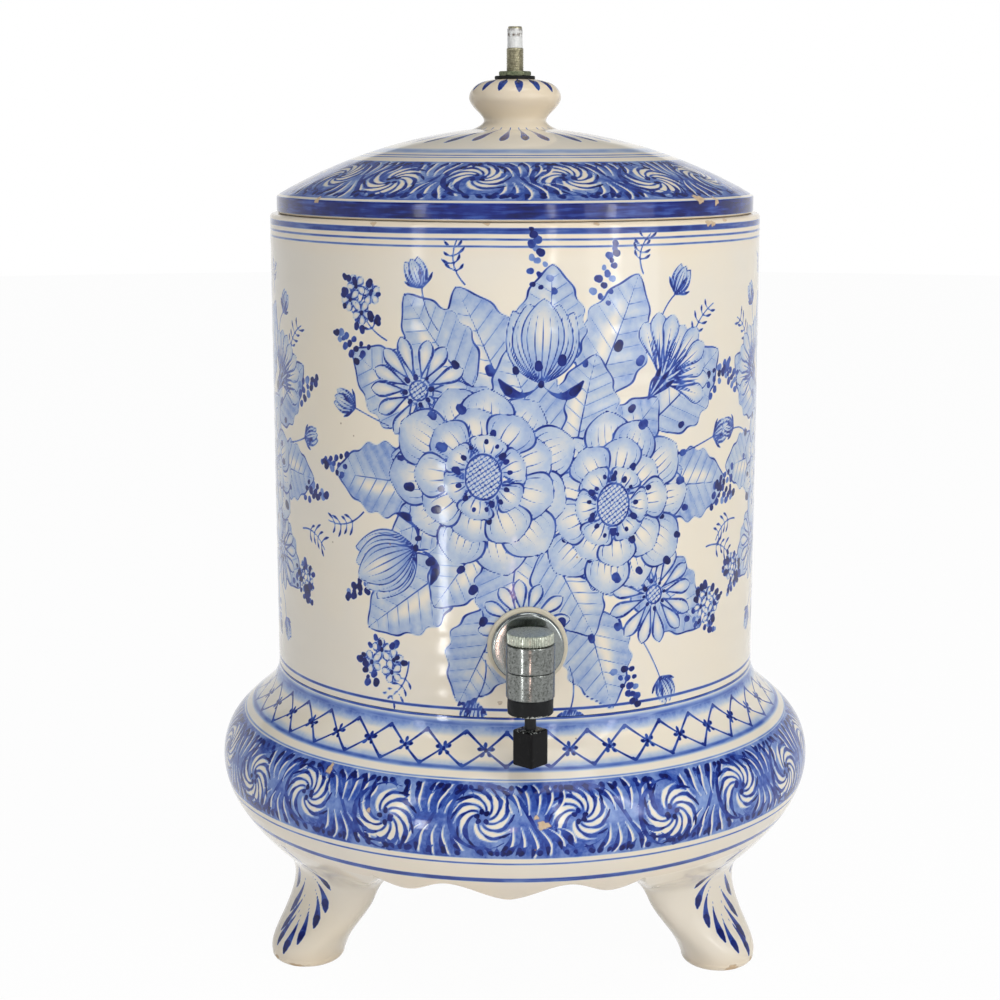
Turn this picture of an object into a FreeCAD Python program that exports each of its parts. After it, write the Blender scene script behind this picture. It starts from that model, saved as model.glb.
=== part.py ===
import FreeCAD, Part

import math
import os
from FreeCAD import Vector

os.makedirs("parts", exist_ok=True)

# Glazed clay water pot on three legs, with a domed lid and a small tap.
# The origin is on the pot's axis at the floor, +Z is up and the tap points along -Y.

# Pot wall
body_r = 140.0
body_wall = 9.0
body_floor = 12.0
body_height = 260.4
rim_round = 2.0

# Base ring: its top face carries the pot, its outline runs out over the belly to the lip
base_height = 164.6
base_wall = 11.0
neck_out = 4.0
neck_height = 152.0
brow_out = 16.0
brow_height = 140.0
belly_top_in = 3.8
belly_top_height = 124.5
belly_out = 33.8
belly_height = 109.0
belly_low_in = 6.8
belly_low_height = 85.5
lip_in = 20.5
lip_height = 67.5
lip_slope = 49.5

# Scalloped lower edge in the bay between two legs
bay_half_angle = 27.0
scallop_rise = 9.5
side_lobe_rise = 2.2
side_lobe_angle = 20.0
scallop_angle = 12.5
corner_rise = 7.5
mid_lobe_margin = 0.6

# Legs: three, equally spaced, a little turned from the tap
leg_count = 3
leg_turn = -4.0
foot_r = 21.0
foot_in = 17.0
foot_edge = 1.5
foot_edge_height = 4.2
shin_height = 20.0
shin_in = 23.1
shin_depth = 19.8
shin_width = 28.5
ankle_height = 40.0
ankle_in = 30.8
ankle_depth = 16.5
ankle_width = 40.0
knee_height = 57.0
knee_in = 29.3
knee_depth = 18.5
knee_width = 52.0
hip_height = 74.0
hip_depth = 31.0
hip_width = 68.0
hip_reach = 2.0
leg_root = 14.0

# Lid
lid_in = 3.7
lid_gap = 0.3
lid_band = 9.5
lid_wall = 8.0
lid_edge = 1.0
dome_rise = 46.3
dome_shoulder_ratio = 0.62
dome_shoulder_rise_ratio = 0.64
collar_depth = 12.0
collar_wall = 6.0
collar_clearance = 1.5
knob_root_r = 24.5
knob_neck_r = 17.8
knob_neck_height = 51.2
knob_flare_r = 22.2
knob_flare_height = 57.2
knob_r = 26.2
knob_r_height = 64.6
knob_shoulder_r = 23.0
knob_shoulder_height = 70.4
knob_top_r = 13.0
knob_top_height = 74.2

# Inlet through the knob
nipple_r = 4.85
nipple_bore_r = 3.3
spigot_r = 4.0
spigot_length = 12.0
spigot_round = 0.28
thread_length = 12.8
nipple_below = 21.0
tape_thickness = 0.35
tape_below_end = 1.2
inlet_hole_clearance = 0.4
nipple_nut_flats = 16.0
top_nut_height = 2.6
under_nut_height = 4.0
inlet_washer_r = 11.5
inlet_washer_height = 2.0

# Tap: a shank through the wall carries an upright barrel
tap_above_floor = 27.2
tap_reach = 28.0
shank_r = 7.9
shank_inside = 18.0
shank_bore_r = 3.2
shank_clearance = 0.35
arm_r = 5.2
collar_rim_r = 9.0
collar_rim_length = 2.5
gasket_r = 21.3
gasket_thickness = 2.4
flange_r = 19.2
flange_thickness = 3.2
flange_round = 1.9
inner_gasket_r = 16.0
inner_gasket_thickness = 3.0
inner_nut_flats = 24.0
inner_nut_height = 7.0
barrel_r = 12.75
barrel_above = 8.6
barrel_below = 5.4
chamber_r = 7.6
cap_r = 12.1
cap_height = 6.0
cap_plug_length = 4.6
cap_thread_r = 9.5
cap_flute_count = 40
cap_flute_r = 0.55
cap_seal_width = 1.3
seat_depth = 11.8
seat_web = 2.5
seat_bore_r = 4.6
skirt_r = 10.6
skirt_bore_r = 8.4
skirt_length = 12.0
sleeve_r = 12.65
sleeve_length = 14.2
sleeve_round = 0.8
nozzle_r = 11.9
nozzle_length = 8.8
nozzle_bore_r = 7.2
nozzle_spigot_wall = 1.2
guide_hub_r = 4.6
guide_height = 3.0
guide_rib = 1.6
guide_rib_count = 3
guide_rib_bite = 0.5
running_clearance = 0.05
moving_gap = 0.3

# Push valve: knob, stem, rubber disc and spring
stem_r = 3.0
neck_length = 8.6
push_side = 13.2
push_height = 19.2
push_round = 0.8
stem_in_knob = 10.0
disc_r = 6.4
disc_thickness = 2.5
head_r = 5.4
head_thickness = 1.5
pin_r = 2.2
pin_length = 3.2
spring_wire_r = 0.45
spring_r = 3.4
spring_turns = 4.5

# How far a cutting shape passes through what it cuts, and how near an edge is to be picked
overrun = 1.0
near = 0.01

# Radii that follow from the sizes above
neck_r = body_r + neck_out
brow_r = body_r + brow_out
belly_r = body_r + belly_out
belly_top_r = belly_r - belly_top_in
belly_low_r = belly_r - belly_low_in
lip_r = belly_r - lip_in
foot_centre_r = lip_r - foot_in
shin_centre_r = lip_r - shin_in
ankle_centre_r = lip_r - ankle_in
knee_centre_r = lip_r - knee_in
lid_r = body_r - lid_in
collar_r = body_r - body_wall - collar_clearance
barrel_y = -(body_r + tap_reach)

# Levels that follow from the sizes above
rim_height = base_height + body_height
tap_height = base_height + body_floor + tap_above_floor
lid_height = rim_height + lid_gap
dome_start = lid_height + lid_band
dome_top = lid_height + dome_rise
knob_top = lid_height + knob_top_height
crown_under = dome_top - lid_wall
top_washer_top = knob_top + inlet_washer_height
top_nut_top = top_washer_top + top_nut_height
under_washer_low = crown_under - inlet_washer_height
under_nut_low = under_washer_low - under_nut_height
spigot_start = top_nut_top + thread_length
inlet_top = spigot_start + spigot_length
barrel_top = tap_height + barrel_above
barrel_bottom = tap_height - barrel_below
skirt_bottom = barrel_bottom - skirt_length
seat_height = tap_height - seat_depth
sleeve_bottom = barrel_bottom - sleeve_length
nozzle_bottom = sleeve_bottom - nozzle_length
push_top = nozzle_bottom - neck_length
plug_bottom = barrel_top - cap_plug_length
disc_top = seat_height + disc_thickness
head_top = disc_top + head_thickness


def save(name, shape):
    """Writes one node, after a check that its solids are sound."""
    assert shape.isValid() and shape.Solids, name
    shape.exportStep("parts/" + name + ".step")
    print(name, len(shape.Solids), round(shape.Volume / 1000.0, 2))


def rod(radius, low, high, x=0.0, y=0.0):
    """An upright cylinder between two heights."""
    return Part.makeCylinder(radius, high - low, Vector(x, y, low))


def tube(outer, inner, low, high, x=0.0, y=0.0):
    """An upright pipe between two heights."""
    return rod(outer, low, high, x, y).cut(rod(inner, low - overrun, high + overrun, x, y))


def shank_rod(radius, y_out, y_in):
    """A cylinder along Y on the tap's shank axis."""
    start = Vector(0, y_out, tap_height)
    return Part.makeCylinder(radius, y_in - y_out, start, Vector(0, 1, 0))


def hexagon(flats, low, high):
    """A hexagonal block on the pot's axis."""
    corner = flats / math.sqrt(3.0)
    points = []
    for i in range(7):
        a = math.radians(60.0 * i)
        points.append(Vector(corner * math.cos(a), corner * math.sin(a), low))
    face = Part.Face(Part.makePolygon(points))
    return face.extrude(Vector(0, 0, high - low))


def turned(edges, low_point, high_point):
    """Revolves the outline made of the edges, closed by one straight edge."""
    closing = Part.makeLine(low_point, high_point)
    face = Part.Face(Part.Wire(Part.__sortEdges__(edges + [closing])))
    return face.revolve(Vector(0, 0, 0), Vector(0, 0, 1), 360)


def outline(points, start_tangent=None, end_tangent=None):
    """A smooth curve in the XZ plane through the points (radius, height)."""
    curve = Part.BSplineCurve()
    places = [Vector(r, 0, z) for r, z in points]
    if start_tangent is None:
        curve.interpolate(Points=places)
    else:
        curve.interpolate(Points=places, InitialTangent=start_tangent, FinalTangent=end_tangent)
    return curve


def chain(points):
    """Straight edges in the XZ plane through the points (radius, height)."""
    places = [Vector(r, 0, z) for r, z in points]
    return [Part.makeLine(a, b) for a, b in zip(places[:-1], places[1:])]


def make_vessel_body():
    """The thrown cylinder: wall, floor, rounded rim and the hole for the tap."""
    inner_r = body_r - body_wall
    body = rod(body_r, base_height, rim_height)
    rim_edges = []
    for edge in body.Edges:
        if edge.Curve.TypeId == "Part::GeomCircle" and edge.CenterOfMass.z > rim_height - near:
            rim_edges.append(edge)
    body = body.makeFillet(rim_round, rim_edges)
    body = body.cut(rod(inner_r, base_height + body_floor, rim_height + overrun))
    hole = shank_rod(shank_r + shank_clearance, -body_r - overrun, -inner_r + overrun)
    return body.cut(hole)


def belly_curve():
    """The outer outline of the base ring, from the pot's foot out over the belly to the lip."""
    points = [
        (body_r, base_height),
        (neck_r, neck_height),
        (brow_r, brow_height),
        (belly_top_r, belly_top_height),
        (belly_r, belly_height),
        (belly_low_r, belly_low_height),
        (lip_r, lip_height),
    ]
    slope = math.radians(lip_slope)
    return outline(points, Vector(0, 0, -1), Vector(-math.cos(slope), 0, -math.sin(slope)))


def bay_cutter(azimuth):
    """The space below the scalloped edge of one bay, as a block that points outwards."""
    reach = lip_r
    low = lip_height - scallop_rise
    rise = lip_height + scallop_rise
    corner = lip_height + corner_rise

    def place(angle, height):
        return Vector(reach * math.sin(math.radians(angle)), 0, height)

    tops = [
        (-bay_half_angle, corner),
        (-side_lobe_angle, lip_height + side_lobe_rise),
        (-scallop_angle, rise),
        (0.0, lip_height - mid_lobe_margin),
        (scallop_angle, rise),
        (side_lobe_angle, lip_height + side_lobe_rise),
        (bay_half_angle, corner),
    ]
    curve = Part.BSplineCurve()
    curve.interpolate(Points=[place(a, z) for a, z in tops])
    left_low = place(-bay_half_angle, low)
    right_low = place(bay_half_angle, low)
    edges = [
        curve.toShape(),
        Part.makeLine(place(bay_half_angle, corner), right_low),
        Part.makeLine(right_low, left_low),
        Part.makeLine(left_low, place(-bay_half_angle, corner)),
    ]
    block = Part.Face(Part.Wire(edges)).extrude(Vector(0, -2.0 * belly_r, 0))
    block.rotate(Vector(0, 0, 0), Vector(0, 0, 1), azimuth)
    return block


def make_base_ring():
    """A hollow ring of even wall under the pot, with a scalloped lip between the legs."""
    outer = belly_curve()
    inner = outline(inner_points(outer))
    outer_edge = outer.toShape()
    inner_edge = inner.toShape()
    top = Part.makeLine(inner.StartPoint, outer.StartPoint)
    lip = Part.makeLine(outer.EndPoint, inner.EndPoint)
    face = Part.Face(Part.Wire([outer_edge, lip, inner_edge, top]))
    ring = face.revolve(Vector(0, 0, 0), Vector(0, 0, 1), 360)
    for i in range(leg_count):
        ring = ring.cut(bay_cutter(leg_turn + i * 360.0 / leg_count))
    return ring


def inner_points(outer):
    """Points one wall thickness inside the belly outline."""
    points = []
    for p in outer.toShape().discretize(Number=9):
        d = outer.tangent(outer.parameter(p))[0]
        points.append((p.x + base_wall * d.z, p.z - base_wall * d.x))
    points[0] = (points[0][0], base_height)
    return points


def leg_section(height, centre_r, depth, width):
    """An oval bent round the pot's axis: depth along the radius, width along the arc."""
    points = []
    count = 24
    for i in range(count):
        a = 2.0 * math.pi * i / count
        r = centre_r + depth * math.cos(a)
        t = width * math.sin(a) / centre_r
        points.append(Vector(r * math.sin(t), -r * math.cos(t), height))
    curve = Part.BSplineCurve()
    curve.interpolate(Points=points, PeriodicFlag=True)
    return Part.Wire([curve.toShape()])


def make_leg(azimuth, ring):
    """One splayed leg, narrow at the foot and spread out where it grows from the base ring."""
    hip_centre_r = lip_r + hip_reach - hip_depth
    sections = [
        leg_section(0.0, foot_centre_r, foot_r - foot_edge, foot_r - foot_edge),
        leg_section(foot_edge_height, foot_centre_r, foot_r, foot_r),
        leg_section(shin_height, shin_centre_r, shin_depth, shin_width),
        leg_section(ankle_height, ankle_centre_r, ankle_depth, ankle_width),
        leg_section(knee_height, knee_centre_r, knee_depth, knee_width),
        leg_section(hip_height, hip_centre_r, hip_depth, hip_width),
        leg_section(hip_height + leg_root, hip_centre_r, hip_depth, hip_width),
    ]
    leg = Part.makeLoft(sections, True)
    leg.rotate(Vector(0, 0, 0), Vector(0, 0, 1), azimuth)
    return leg.cut(ring)


def make_lid():
    """The domed lid with its band, its locating collar underneath and the pierced knob."""
    shoulder_r = dome_shoulder_ratio * lid_r
    shoulder_height = dome_start + dome_shoulder_rise_ratio * (dome_top - dome_start)
    inner_r = collar_r - collar_wall
    inner_low = dome_start - lid_wall + lid_edge
    dome = Part.Arc(
        Vector(lid_r, 0, dome_start),
        Vector(shoulder_r, 0, shoulder_height),
        Vector(knob_root_r, 0, dome_top),
    )
    knob = outline([
        (knob_root_r, dome_top),
        (knob_neck_r, lid_height + knob_neck_height),
        (knob_flare_r, lid_height + knob_flare_height),
        (knob_r, lid_height + knob_r_height),
        (knob_shoulder_r, lid_height + knob_shoulder_height),
        (knob_top_r, knob_top),
    ])
    under = Part.Arc(
        Vector(inner_r, 0, inner_low),
        Vector(shoulder_r, 0, shoulder_height - lid_wall - lid_edge),
        Vector(0.0, 0, crown_under),
    )
    edges = [dome.toShape(), knob.toShape(), under.toShape()]
    edges += chain([(knob_top_r, knob_top), (0.0, knob_top)])
    edges += chain([
        (lid_r, dome_start),
        (lid_r, lid_height + lid_edge),
        (lid_r - lid_edge, lid_height),
        (collar_r, lid_height),
        (collar_r, lid_height - collar_depth),
        (inner_r, lid_height - collar_depth),
        (inner_r, inner_low),
    ])
    lid = turned(edges, Vector(0, 0, crown_under), Vector(0, 0, knob_top))
    hole_r = nipple_r + inlet_hole_clearance
    return lid.cut(rod(hole_r, crown_under - overrun, knob_top + overrun))


def make_inlet_nipple():
    """The threaded pipe through the knob, turned down to a plain spigot at its top."""
    pipe_low = crown_under - nipple_below
    thread = rod(nipple_r, pipe_low, spigot_start)
    spigot = rod(spigot_r, spigot_start, inlet_top)
    top_edges = [e for e in spigot.Edges if e.CenterOfMass.z > inlet_top - near and e.Closed]
    pipe = thread.fuse(spigot.makeFillet(spigot_round, top_edges))
    bore = rod(nipple_bore_r, pipe_low - overrun, inlet_top + overrun)
    return pipe.removeSplitter().cut(bore)


def make_seal_tape():
    """Sealing tape wound round the spigot, up to just below its open end."""
    return tube(spigot_r + tape_thickness, spigot_r, spigot_start, inlet_top - tape_below_end)


def make_nut(flats, low, high):
    """A hexagonal nut on the inlet pipe."""
    return hexagon(flats, low, high).cut(rod(nipple_r, low - overrun, high + overrun))


def make_outer_gasket():
    """A rubber ring that fits the curved wall behind the flange."""
    disc = shank_rod(gasket_r, -body_r - gasket_thickness, -body_r + body_wall)
    disc = disc.cut(rod(body_r, tap_height - 2.0 * gasket_r, tap_height + 2.0 * gasket_r))
    return disc.cut(shank_rod(shank_r, -body_r - gasket_thickness - overrun, 0.0))


def make_flange():
    """The round rose that covers the hole in the wall."""
    back = -body_r - gasket_thickness
    plate = shank_rod(flange_r, back - flange_thickness, back)
    front_edges = [e for e in plate.Edges if e.Closed and e.CenterOfMass.y < back - near]
    plate = plate.makeFillet(flange_round, front_edges)
    return plate.cut(shank_rod(shank_r, back - flange_thickness - overrun, back + overrun))


def make_inner_gasket():
    """A rubber ring that fits the inside of the curved wall."""
    inner_r = body_r - body_wall
    disc = shank_rod(inner_gasket_r, -body_r, -inner_r + inner_gasket_thickness)
    disc = disc.common(rod(inner_r, tap_height - 2.0 * inner_gasket_r, tap_height + 2.0 * inner_gasket_r))
    return disc.cut(shank_rod(shank_r, -body_r, 0.0))


def make_inner_nut():
    """The hexagonal nut that clamps the tap from inside the pot."""
    nut = hexagon(inner_nut_flats, 0.0, inner_nut_height)
    nut.rotate(Vector(0, 0, 0), Vector(1, 0, 0), -90)
    nut.translate(Vector(0, -body_r + body_wall + inner_gasket_thickness, tap_height))
    return nut.cut(shank_rod(shank_r, -body_r, 0.0))


def make_tap_body():
    """Shank with its collar, upright barrel with chamber and seat, and the skirt for the sleeve."""
    shank_end = -body_r + body_wall + shank_inside
    flange_front = -body_r - gasket_thickness - flange_thickness
    body = rod(barrel_r, barrel_bottom, barrel_top, y=barrel_y)
    body = body.fuse(shank_rod(arm_r, barrel_y, flange_front))
    body = body.fuse(shank_rod(collar_rim_r, flange_front - collar_rim_length, flange_front))
    body = body.fuse(shank_rod(shank_r, flange_front, shank_end))
    body = body.fuse(rod(skirt_r, skirt_bottom, barrel_bottom, y=barrel_y))
    thread_r = cap_thread_r + running_clearance
    body = body.cut(rod(thread_r, plug_bottom - moving_gap, barrel_top + overrun, y=barrel_y))
    body = body.cut(rod(chamber_r, seat_height, barrel_top, y=barrel_y))
    body = body.cut(rod(seat_bore_r, seat_height - seat_web - overrun, seat_height + overrun, y=barrel_y))
    below_seat = seat_height - seat_web
    body = body.cut(rod(skirt_bore_r, skirt_bottom - overrun, below_seat, y=barrel_y))
    return body.cut(shank_rod(shank_bore_r, barrel_y, shank_end + overrun))


def make_cap():
    """The fluted cap that screws into the barrel and holds the spring down."""
    low = barrel_top + moving_gap
    cap = rod(cap_r, low, barrel_top + cap_height, y=barrel_y)
    flute = rod(cap_flute_r, low - overrun, barrel_top + cap_height + overrun, y=barrel_y - cap_r)
    flutes = []
    for i in range(cap_flute_count):
        one = flute.copy()
        one.rotate(Vector(0, barrel_y, 0), Vector(0, 0, 1), i * 360.0 / cap_flute_count)
        flutes.append(one)
    cap = cap.cut(Part.makeCompound(flutes))
    groove_low = plug_bottom + cap_seal_width
    plug = rod(cap_thread_r, groove_low + cap_seal_width, low, y=barrel_y)
    neck = rod(cap_thread_r - cap_seal_width, plug_bottom, groove_low + cap_seal_width, y=barrel_y)
    foot = rod(cap_thread_r, plug_bottom, groove_low, y=barrel_y)
    return cap.fuse([plug, neck, foot]).removeSplitter()


def make_cap_seal():
    """The rubber ring in the groove of the cap's plug."""
    low = plug_bottom + cap_seal_width
    return tube(cap_thread_r, cap_thread_r - cap_seal_width, low, low + cap_seal_width, y=barrel_y)


def make_sleeve():
    """The plain collar that screws over the skirt below the barrel."""
    sleeve = rod(sleeve_r, sleeve_bottom, barrel_bottom, y=barrel_y)
    rims = [e for e in sleeve.Edges if e.Closed and e.Curve.TypeId == "Part::GeomCircle"]
    sleeve = sleeve.makeFillet(sleeve_round, rims)
    sleeve = sleeve.cut(rod(skirt_r, skirt_bottom, barrel_bottom + overrun, y=barrel_y))
    spigot = nozzle_bore_r + nozzle_spigot_wall
    return sleeve.cut(rod(spigot, sleeve_bottom - overrun, barrel_bottom, y=barrel_y))


def make_nozzle():
    """The black outlet ring, with a three-armed guide for the stem inside."""
    nozzle = rod(nozzle_r, nozzle_bottom, sleeve_bottom, y=barrel_y)
    low_rim = [e for e in nozzle.Edges if e.CenterOfMass.z < nozzle_bottom + near and e.Closed]
    nozzle = nozzle.makeFillet(sleeve_round, low_rim)
    nozzle = nozzle.fuse(rod(nozzle_bore_r + nozzle_spigot_wall, sleeve_bottom, skirt_bottom, y=barrel_y))
    nozzle = nozzle.cut(rod(nozzle_bore_r, nozzle_bottom - overrun, skirt_bottom + overrun, y=barrel_y))
    guide_low = sleeve_bottom - 0.5 * nozzle_length
    guide = rod(guide_hub_r, guide_low, guide_low + guide_height, y=barrel_y)
    for i in range(guide_rib_count):
        rib = Part.makeBox(guide_rib, nozzle_bore_r + guide_rib_bite, guide_height)
        rib.translate(Vector(-0.5 * guide_rib, barrel_y, guide_low))
        rib.rotate(Vector(0, barrel_y, 0), Vector(0, 0, 1), i * 360.0 / guide_rib_count)
        guide = guide.fuse(rib)
    nozzle = nozzle.fuse(guide)
    stem_hole = rod(stem_r + running_clearance, nozzle_bottom, skirt_bottom, y=barrel_y)
    return nozzle.cut(stem_hole).removeSplitter()


def make_valve_stem():
    """The stem: shank in the knob, head above the disc and a pin that centres the spring."""
    stem = rod(stem_r, push_top - stem_in_knob, disc_top, y=barrel_y)
    head = rod(head_r, disc_top, head_top, y=barrel_y)
    pin = rod(pin_r, head_top, head_top + pin_length, y=barrel_y)
    return stem.fuse([head, pin]).removeSplitter()


def make_spring():
    """A round-wire coil between the stem's head and the cap's plug."""
    low = head_top + spring_wire_r
    length = plug_bottom - head_top - 2.0 * spring_wire_r
    steps = int(16 * spring_turns)
    points = []
    for i in range(steps + 1):
        a = 2.0 * math.pi * spring_turns * i / steps
        rise = low + length * i / steps
        points.append(Vector(spring_r * math.cos(a), barrel_y + spring_r * math.sin(a), rise))
    line = Part.BSplineCurve()
    line.interpolate(Points=points)
    start = line.tangent(line.FirstParameter)[0]
    profile = Part.Wire([Part.makeCircle(spring_wire_r, points[0], start)])
    return Part.Wire([line.toShape()]).makePipeShell([profile], True, True)


def make_push_knob():
    """The square block that a glass pushes up, one corner forward."""
    half = 0.5 * push_side
    block = Part.makeBox(push_side, push_side, push_height)
    block.translate(Vector(-half, -half, push_top - push_height))
    block = block.makeFillet(push_round, block.Edges)
    block.rotate(Vector(0, 0, 0), Vector(0, 0, 1), 45)
    block.translate(Vector(0, barrel_y, 0))
    return block.cut(rod(stem_r, push_top - stem_in_knob, push_top + overrun, y=barrel_y))


save("vessel_body", make_vessel_body())
base_ring = make_base_ring()
save("base_ring", base_ring)
leg_names = ["leg_front_right", "leg_rear", "leg_front_left"]
for i, leg_name in enumerate(leg_names):
    leg_azimuth = leg_turn + (i + 0.5) * 360.0 / leg_count
    save(leg_name, make_leg(leg_azimuth, base_ring))
save("lid", make_lid())

save("inlet_nipple", make_inlet_nipple())
save("inlet_seal_tape", make_seal_tape())
save("inlet_top_washer", tube(inlet_washer_r, nipple_r, knob_top, top_washer_top))
save("inlet_top_nut", make_nut(nipple_nut_flats, top_washer_top, top_nut_top))
save("inlet_under_washer", tube(inlet_washer_r, nipple_r, under_washer_low, crown_under))
save("inlet_under_nut", make_nut(nipple_nut_flats, under_nut_low, under_washer_low))

save("tap_outer_gasket", make_outer_gasket())
save("tap_flange", make_flange())
save("tap_body", make_tap_body())
save("tap_inner_gasket", make_inner_gasket())
save("tap_inner_nut", make_inner_nut())
save("tap_cap", make_cap())
save("tap_cap_seal", make_cap_seal())
save("tap_sleeve", make_sleeve())
save("outlet_nozzle", make_nozzle())
save("valve_stem", make_valve_stem())
save("valve_disc", tube(disc_r, stem_r, seat_height, disc_top, y=barrel_y))
save("valve_spring", make_spring())
save("push_knob", make_push_knob())
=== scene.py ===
import math

import bpy
import numpy as np
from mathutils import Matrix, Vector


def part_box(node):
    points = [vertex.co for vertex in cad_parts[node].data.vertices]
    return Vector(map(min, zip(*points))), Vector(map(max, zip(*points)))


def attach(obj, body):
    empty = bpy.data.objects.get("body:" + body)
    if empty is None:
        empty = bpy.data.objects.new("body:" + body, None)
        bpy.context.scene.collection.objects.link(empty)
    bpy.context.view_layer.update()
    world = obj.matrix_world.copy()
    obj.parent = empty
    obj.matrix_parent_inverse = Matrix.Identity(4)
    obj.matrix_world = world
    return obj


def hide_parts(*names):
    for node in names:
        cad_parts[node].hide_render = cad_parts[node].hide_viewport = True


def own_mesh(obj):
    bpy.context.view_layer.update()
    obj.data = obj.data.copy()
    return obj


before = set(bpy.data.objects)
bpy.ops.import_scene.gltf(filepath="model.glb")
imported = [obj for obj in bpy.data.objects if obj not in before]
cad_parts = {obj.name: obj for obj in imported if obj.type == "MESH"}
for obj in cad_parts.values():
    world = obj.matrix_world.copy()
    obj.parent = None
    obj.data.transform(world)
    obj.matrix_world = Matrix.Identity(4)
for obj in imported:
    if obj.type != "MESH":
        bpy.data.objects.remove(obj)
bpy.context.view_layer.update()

# Lengths are in millimetres until a mesh is made. Angles run from the tap, which is at -Y, towards +X.
MM = 0.001
TURN = 2.0 * math.pi

# Brush marks: the width of their soft edge, and half the finest line that the meshes can carry
SOFT = 1.0
FINEST = 0.37
LAYERS = ("wash", "light", "mid", "dark")

# Pot
WALL_R = 140.0
WALL_IN_R = 131.0
WALL_LOW = 164.6
WALL_TOP = 425.0
FLOOR_TOP = 176.6
RIM_ROUND = 2.0
BELLY = [(140.0, 164.6), (144.0, 152.0), (156.0, 140.0), (170.0, 124.5), (173.7, 109.0), (167.0, 85.5), (153.3, 67.5)]
LIP_R, LIP_Z = BELLY[-1]
LIP_SLOPE = math.radians(49.5)
RING_WALL = 11.0
LEG_TURN = -4.0

# Lid
LID_R = 136.3
LID_LOW = 425.3
DOME_LOW = 434.8
DOME_TOP = 471.6
KNOB = [(24.5, 471.6), (17.8, 476.5), (22.2, 482.5), (26.2, 489.9), (23.0, 495.7), (13.0, 499.5)]
CROWN_R = 78.0
COLLAR_R = 129.5
COLLAR_IN_R = 123.5
COLLAR_LOW = 413.3
CROWN_UNDER = 463.6
HOLE_R = 5.25

# Tap
TAP_Z = 203.8
TAP_Y = -168.0


# Shapes

def smooth_line(knots, values, at, start=None, end=None):
    """A cubic through the values. The bends at the knots solve one band matrix, and each stretch
    is the straight line between its two values plus a cube of the distance from each end."""
    x, y = np.asarray(knots, float), np.asarray(values, float)
    n, h = len(x), np.diff(x)
    slope = np.diff(y) / h
    band, right = np.zeros((n, n)), np.zeros(n)
    i = np.arange(1, n - 1)
    band[i, i - 1], band[i, i], band[i, i + 1] = h[i - 1], 2.0 * (h[i - 1] + h[i]), h[i]
    right[i] = 6.0 * (slope[i] - slope[i - 1])
    band[0, 0], band[-1, -1] = 1.0, 1.0
    if start is not None:
        band[0, 0], band[0, 1], right[0] = 2.0 * h[0], h[0], 6.0 * (slope[0] - start)
    if end is not None:
        band[-1, -1], band[-1, -2], right[-1] = 2.0 * h[-1], h[-1], 6.0 * (end - slope[-1])
    bend = np.linalg.solve(band, right)
    at = np.asarray(at, float)
    k = np.clip(np.searchsorted(x, at) - 1, 0, n - 2)
    s = (at - x[k]) / h[k]
    left = y[k] * (1.0 - s) + ((1.0 - s) ** 3 - (1.0 - s)) * bend[k] * h[k] ** 2 / 6.0
    return left + y[k + 1] * s + (s ** 3 - s) * bend[k + 1] * h[k] ** 2 / 6.0


def run_along(points):
    """The distance run along a line of points, from 0 at its first."""
    return np.concatenate([[0.0], np.cumsum(np.hypot(*np.diff(points, axis=0).T))])


def once_round(columns):
    """The angles of equal columns round an axis."""
    return np.arange(columns) * TURN / columns


def eased(share):
    """A share from 0 to 1 that starts and ends gently: three of its square less two of its cube."""
    return share * share * (3.0 - 2.0 * share)


def curve_through(points, count, start=None, end=None):
    """A smooth curve through the points, by the distance run along them, as count points."""
    p = np.asarray(points, float)
    run = run_along(p)
    at = np.linspace(0.0, run[-1], count)
    ends = [(None, None)] * 2 if start is None else list(zip(start, end))
    return np.stack([smooth_line(run, p[:, k], at, ends[k][0], ends[k][1]) for k in (0, 1)], 1)


def arc_through(a, b, c, count):
    """The circle's arc from a through b to c, as count points at equal angles."""
    (ax, ay), (bx, by), (cx, cy) = a, b, c
    d = 2.0 * (ax * (by - cy) + bx * (cy - ay) + cx * (ay - by))
    sa, sb, sc = ax * ax + ay * ay, bx * bx + by * by, cx * cx + cy * cy
    ox = (sa * (by - cy) + sb * (cy - ay) + sc * (ay - by)) / d
    oy = (sa * (cx - bx) + sb * (ax - cx) + sc * (bx - ax)) / d
    one, two = math.atan2(ay - oy, ax - ox), math.atan2(cy - oy, cx - ox)
    angle = np.linspace(one, two, count)
    r = math.hypot(ax - ox, ay - oy)
    return np.stack([ox + r * np.cos(angle), oy + r * np.sin(angle)], 1)


def rows_between(a, b, count):
    """Points on the straight line from a to b, without b."""
    t = np.linspace(0.0, 1.0, count, endpoint=False)[:, None]
    return np.asarray(a, float) * (1.0 - t) + np.asarray(b, float) * t


def softened(points, radius, steps=4):
    """A closed outline with each corner rounded: on each corner a quadratic curve runs from a point
    one radius before it to a point one radius after it, with one more point just outside each end."""
    p = np.asarray(points, float)
    before, after = np.roll(p, 1, 0) - p, np.roll(p, -1, 0) - p
    lb, la = np.hypot(*before.T), np.hypot(*after.T)
    cut = np.minimum(radius, 0.42 * np.minimum(lb, la))
    a = before / lb[:, None]
    b = after / la[:, None]
    t = np.linspace(0.0, 1.0, steps + 1)[None, :, None]
    start, end = p + a * cut[:, None], p + b * cut[:, None]
    arc = start[:, None] * (1 - t) ** 2 + 2 * p[:, None] * t * (1 - t) + end[:, None] * t ** 2
    lead = (p + a * (1.18 * cut)[:, None])[:, None]
    tail = (p + b * (1.18 * cut)[:, None])[:, None]
    return np.concatenate([lead, arc, tail], 1).reshape(-1, 2)


def on_pot(r, z, angle):
    """Points at radius r and height z, at an angle round the pot's axis."""
    r, z, angle = np.broadcast_arrays(r, z, angle)
    return np.stack([r * np.sin(angle), -r * np.cos(angle), z], -1)


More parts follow.
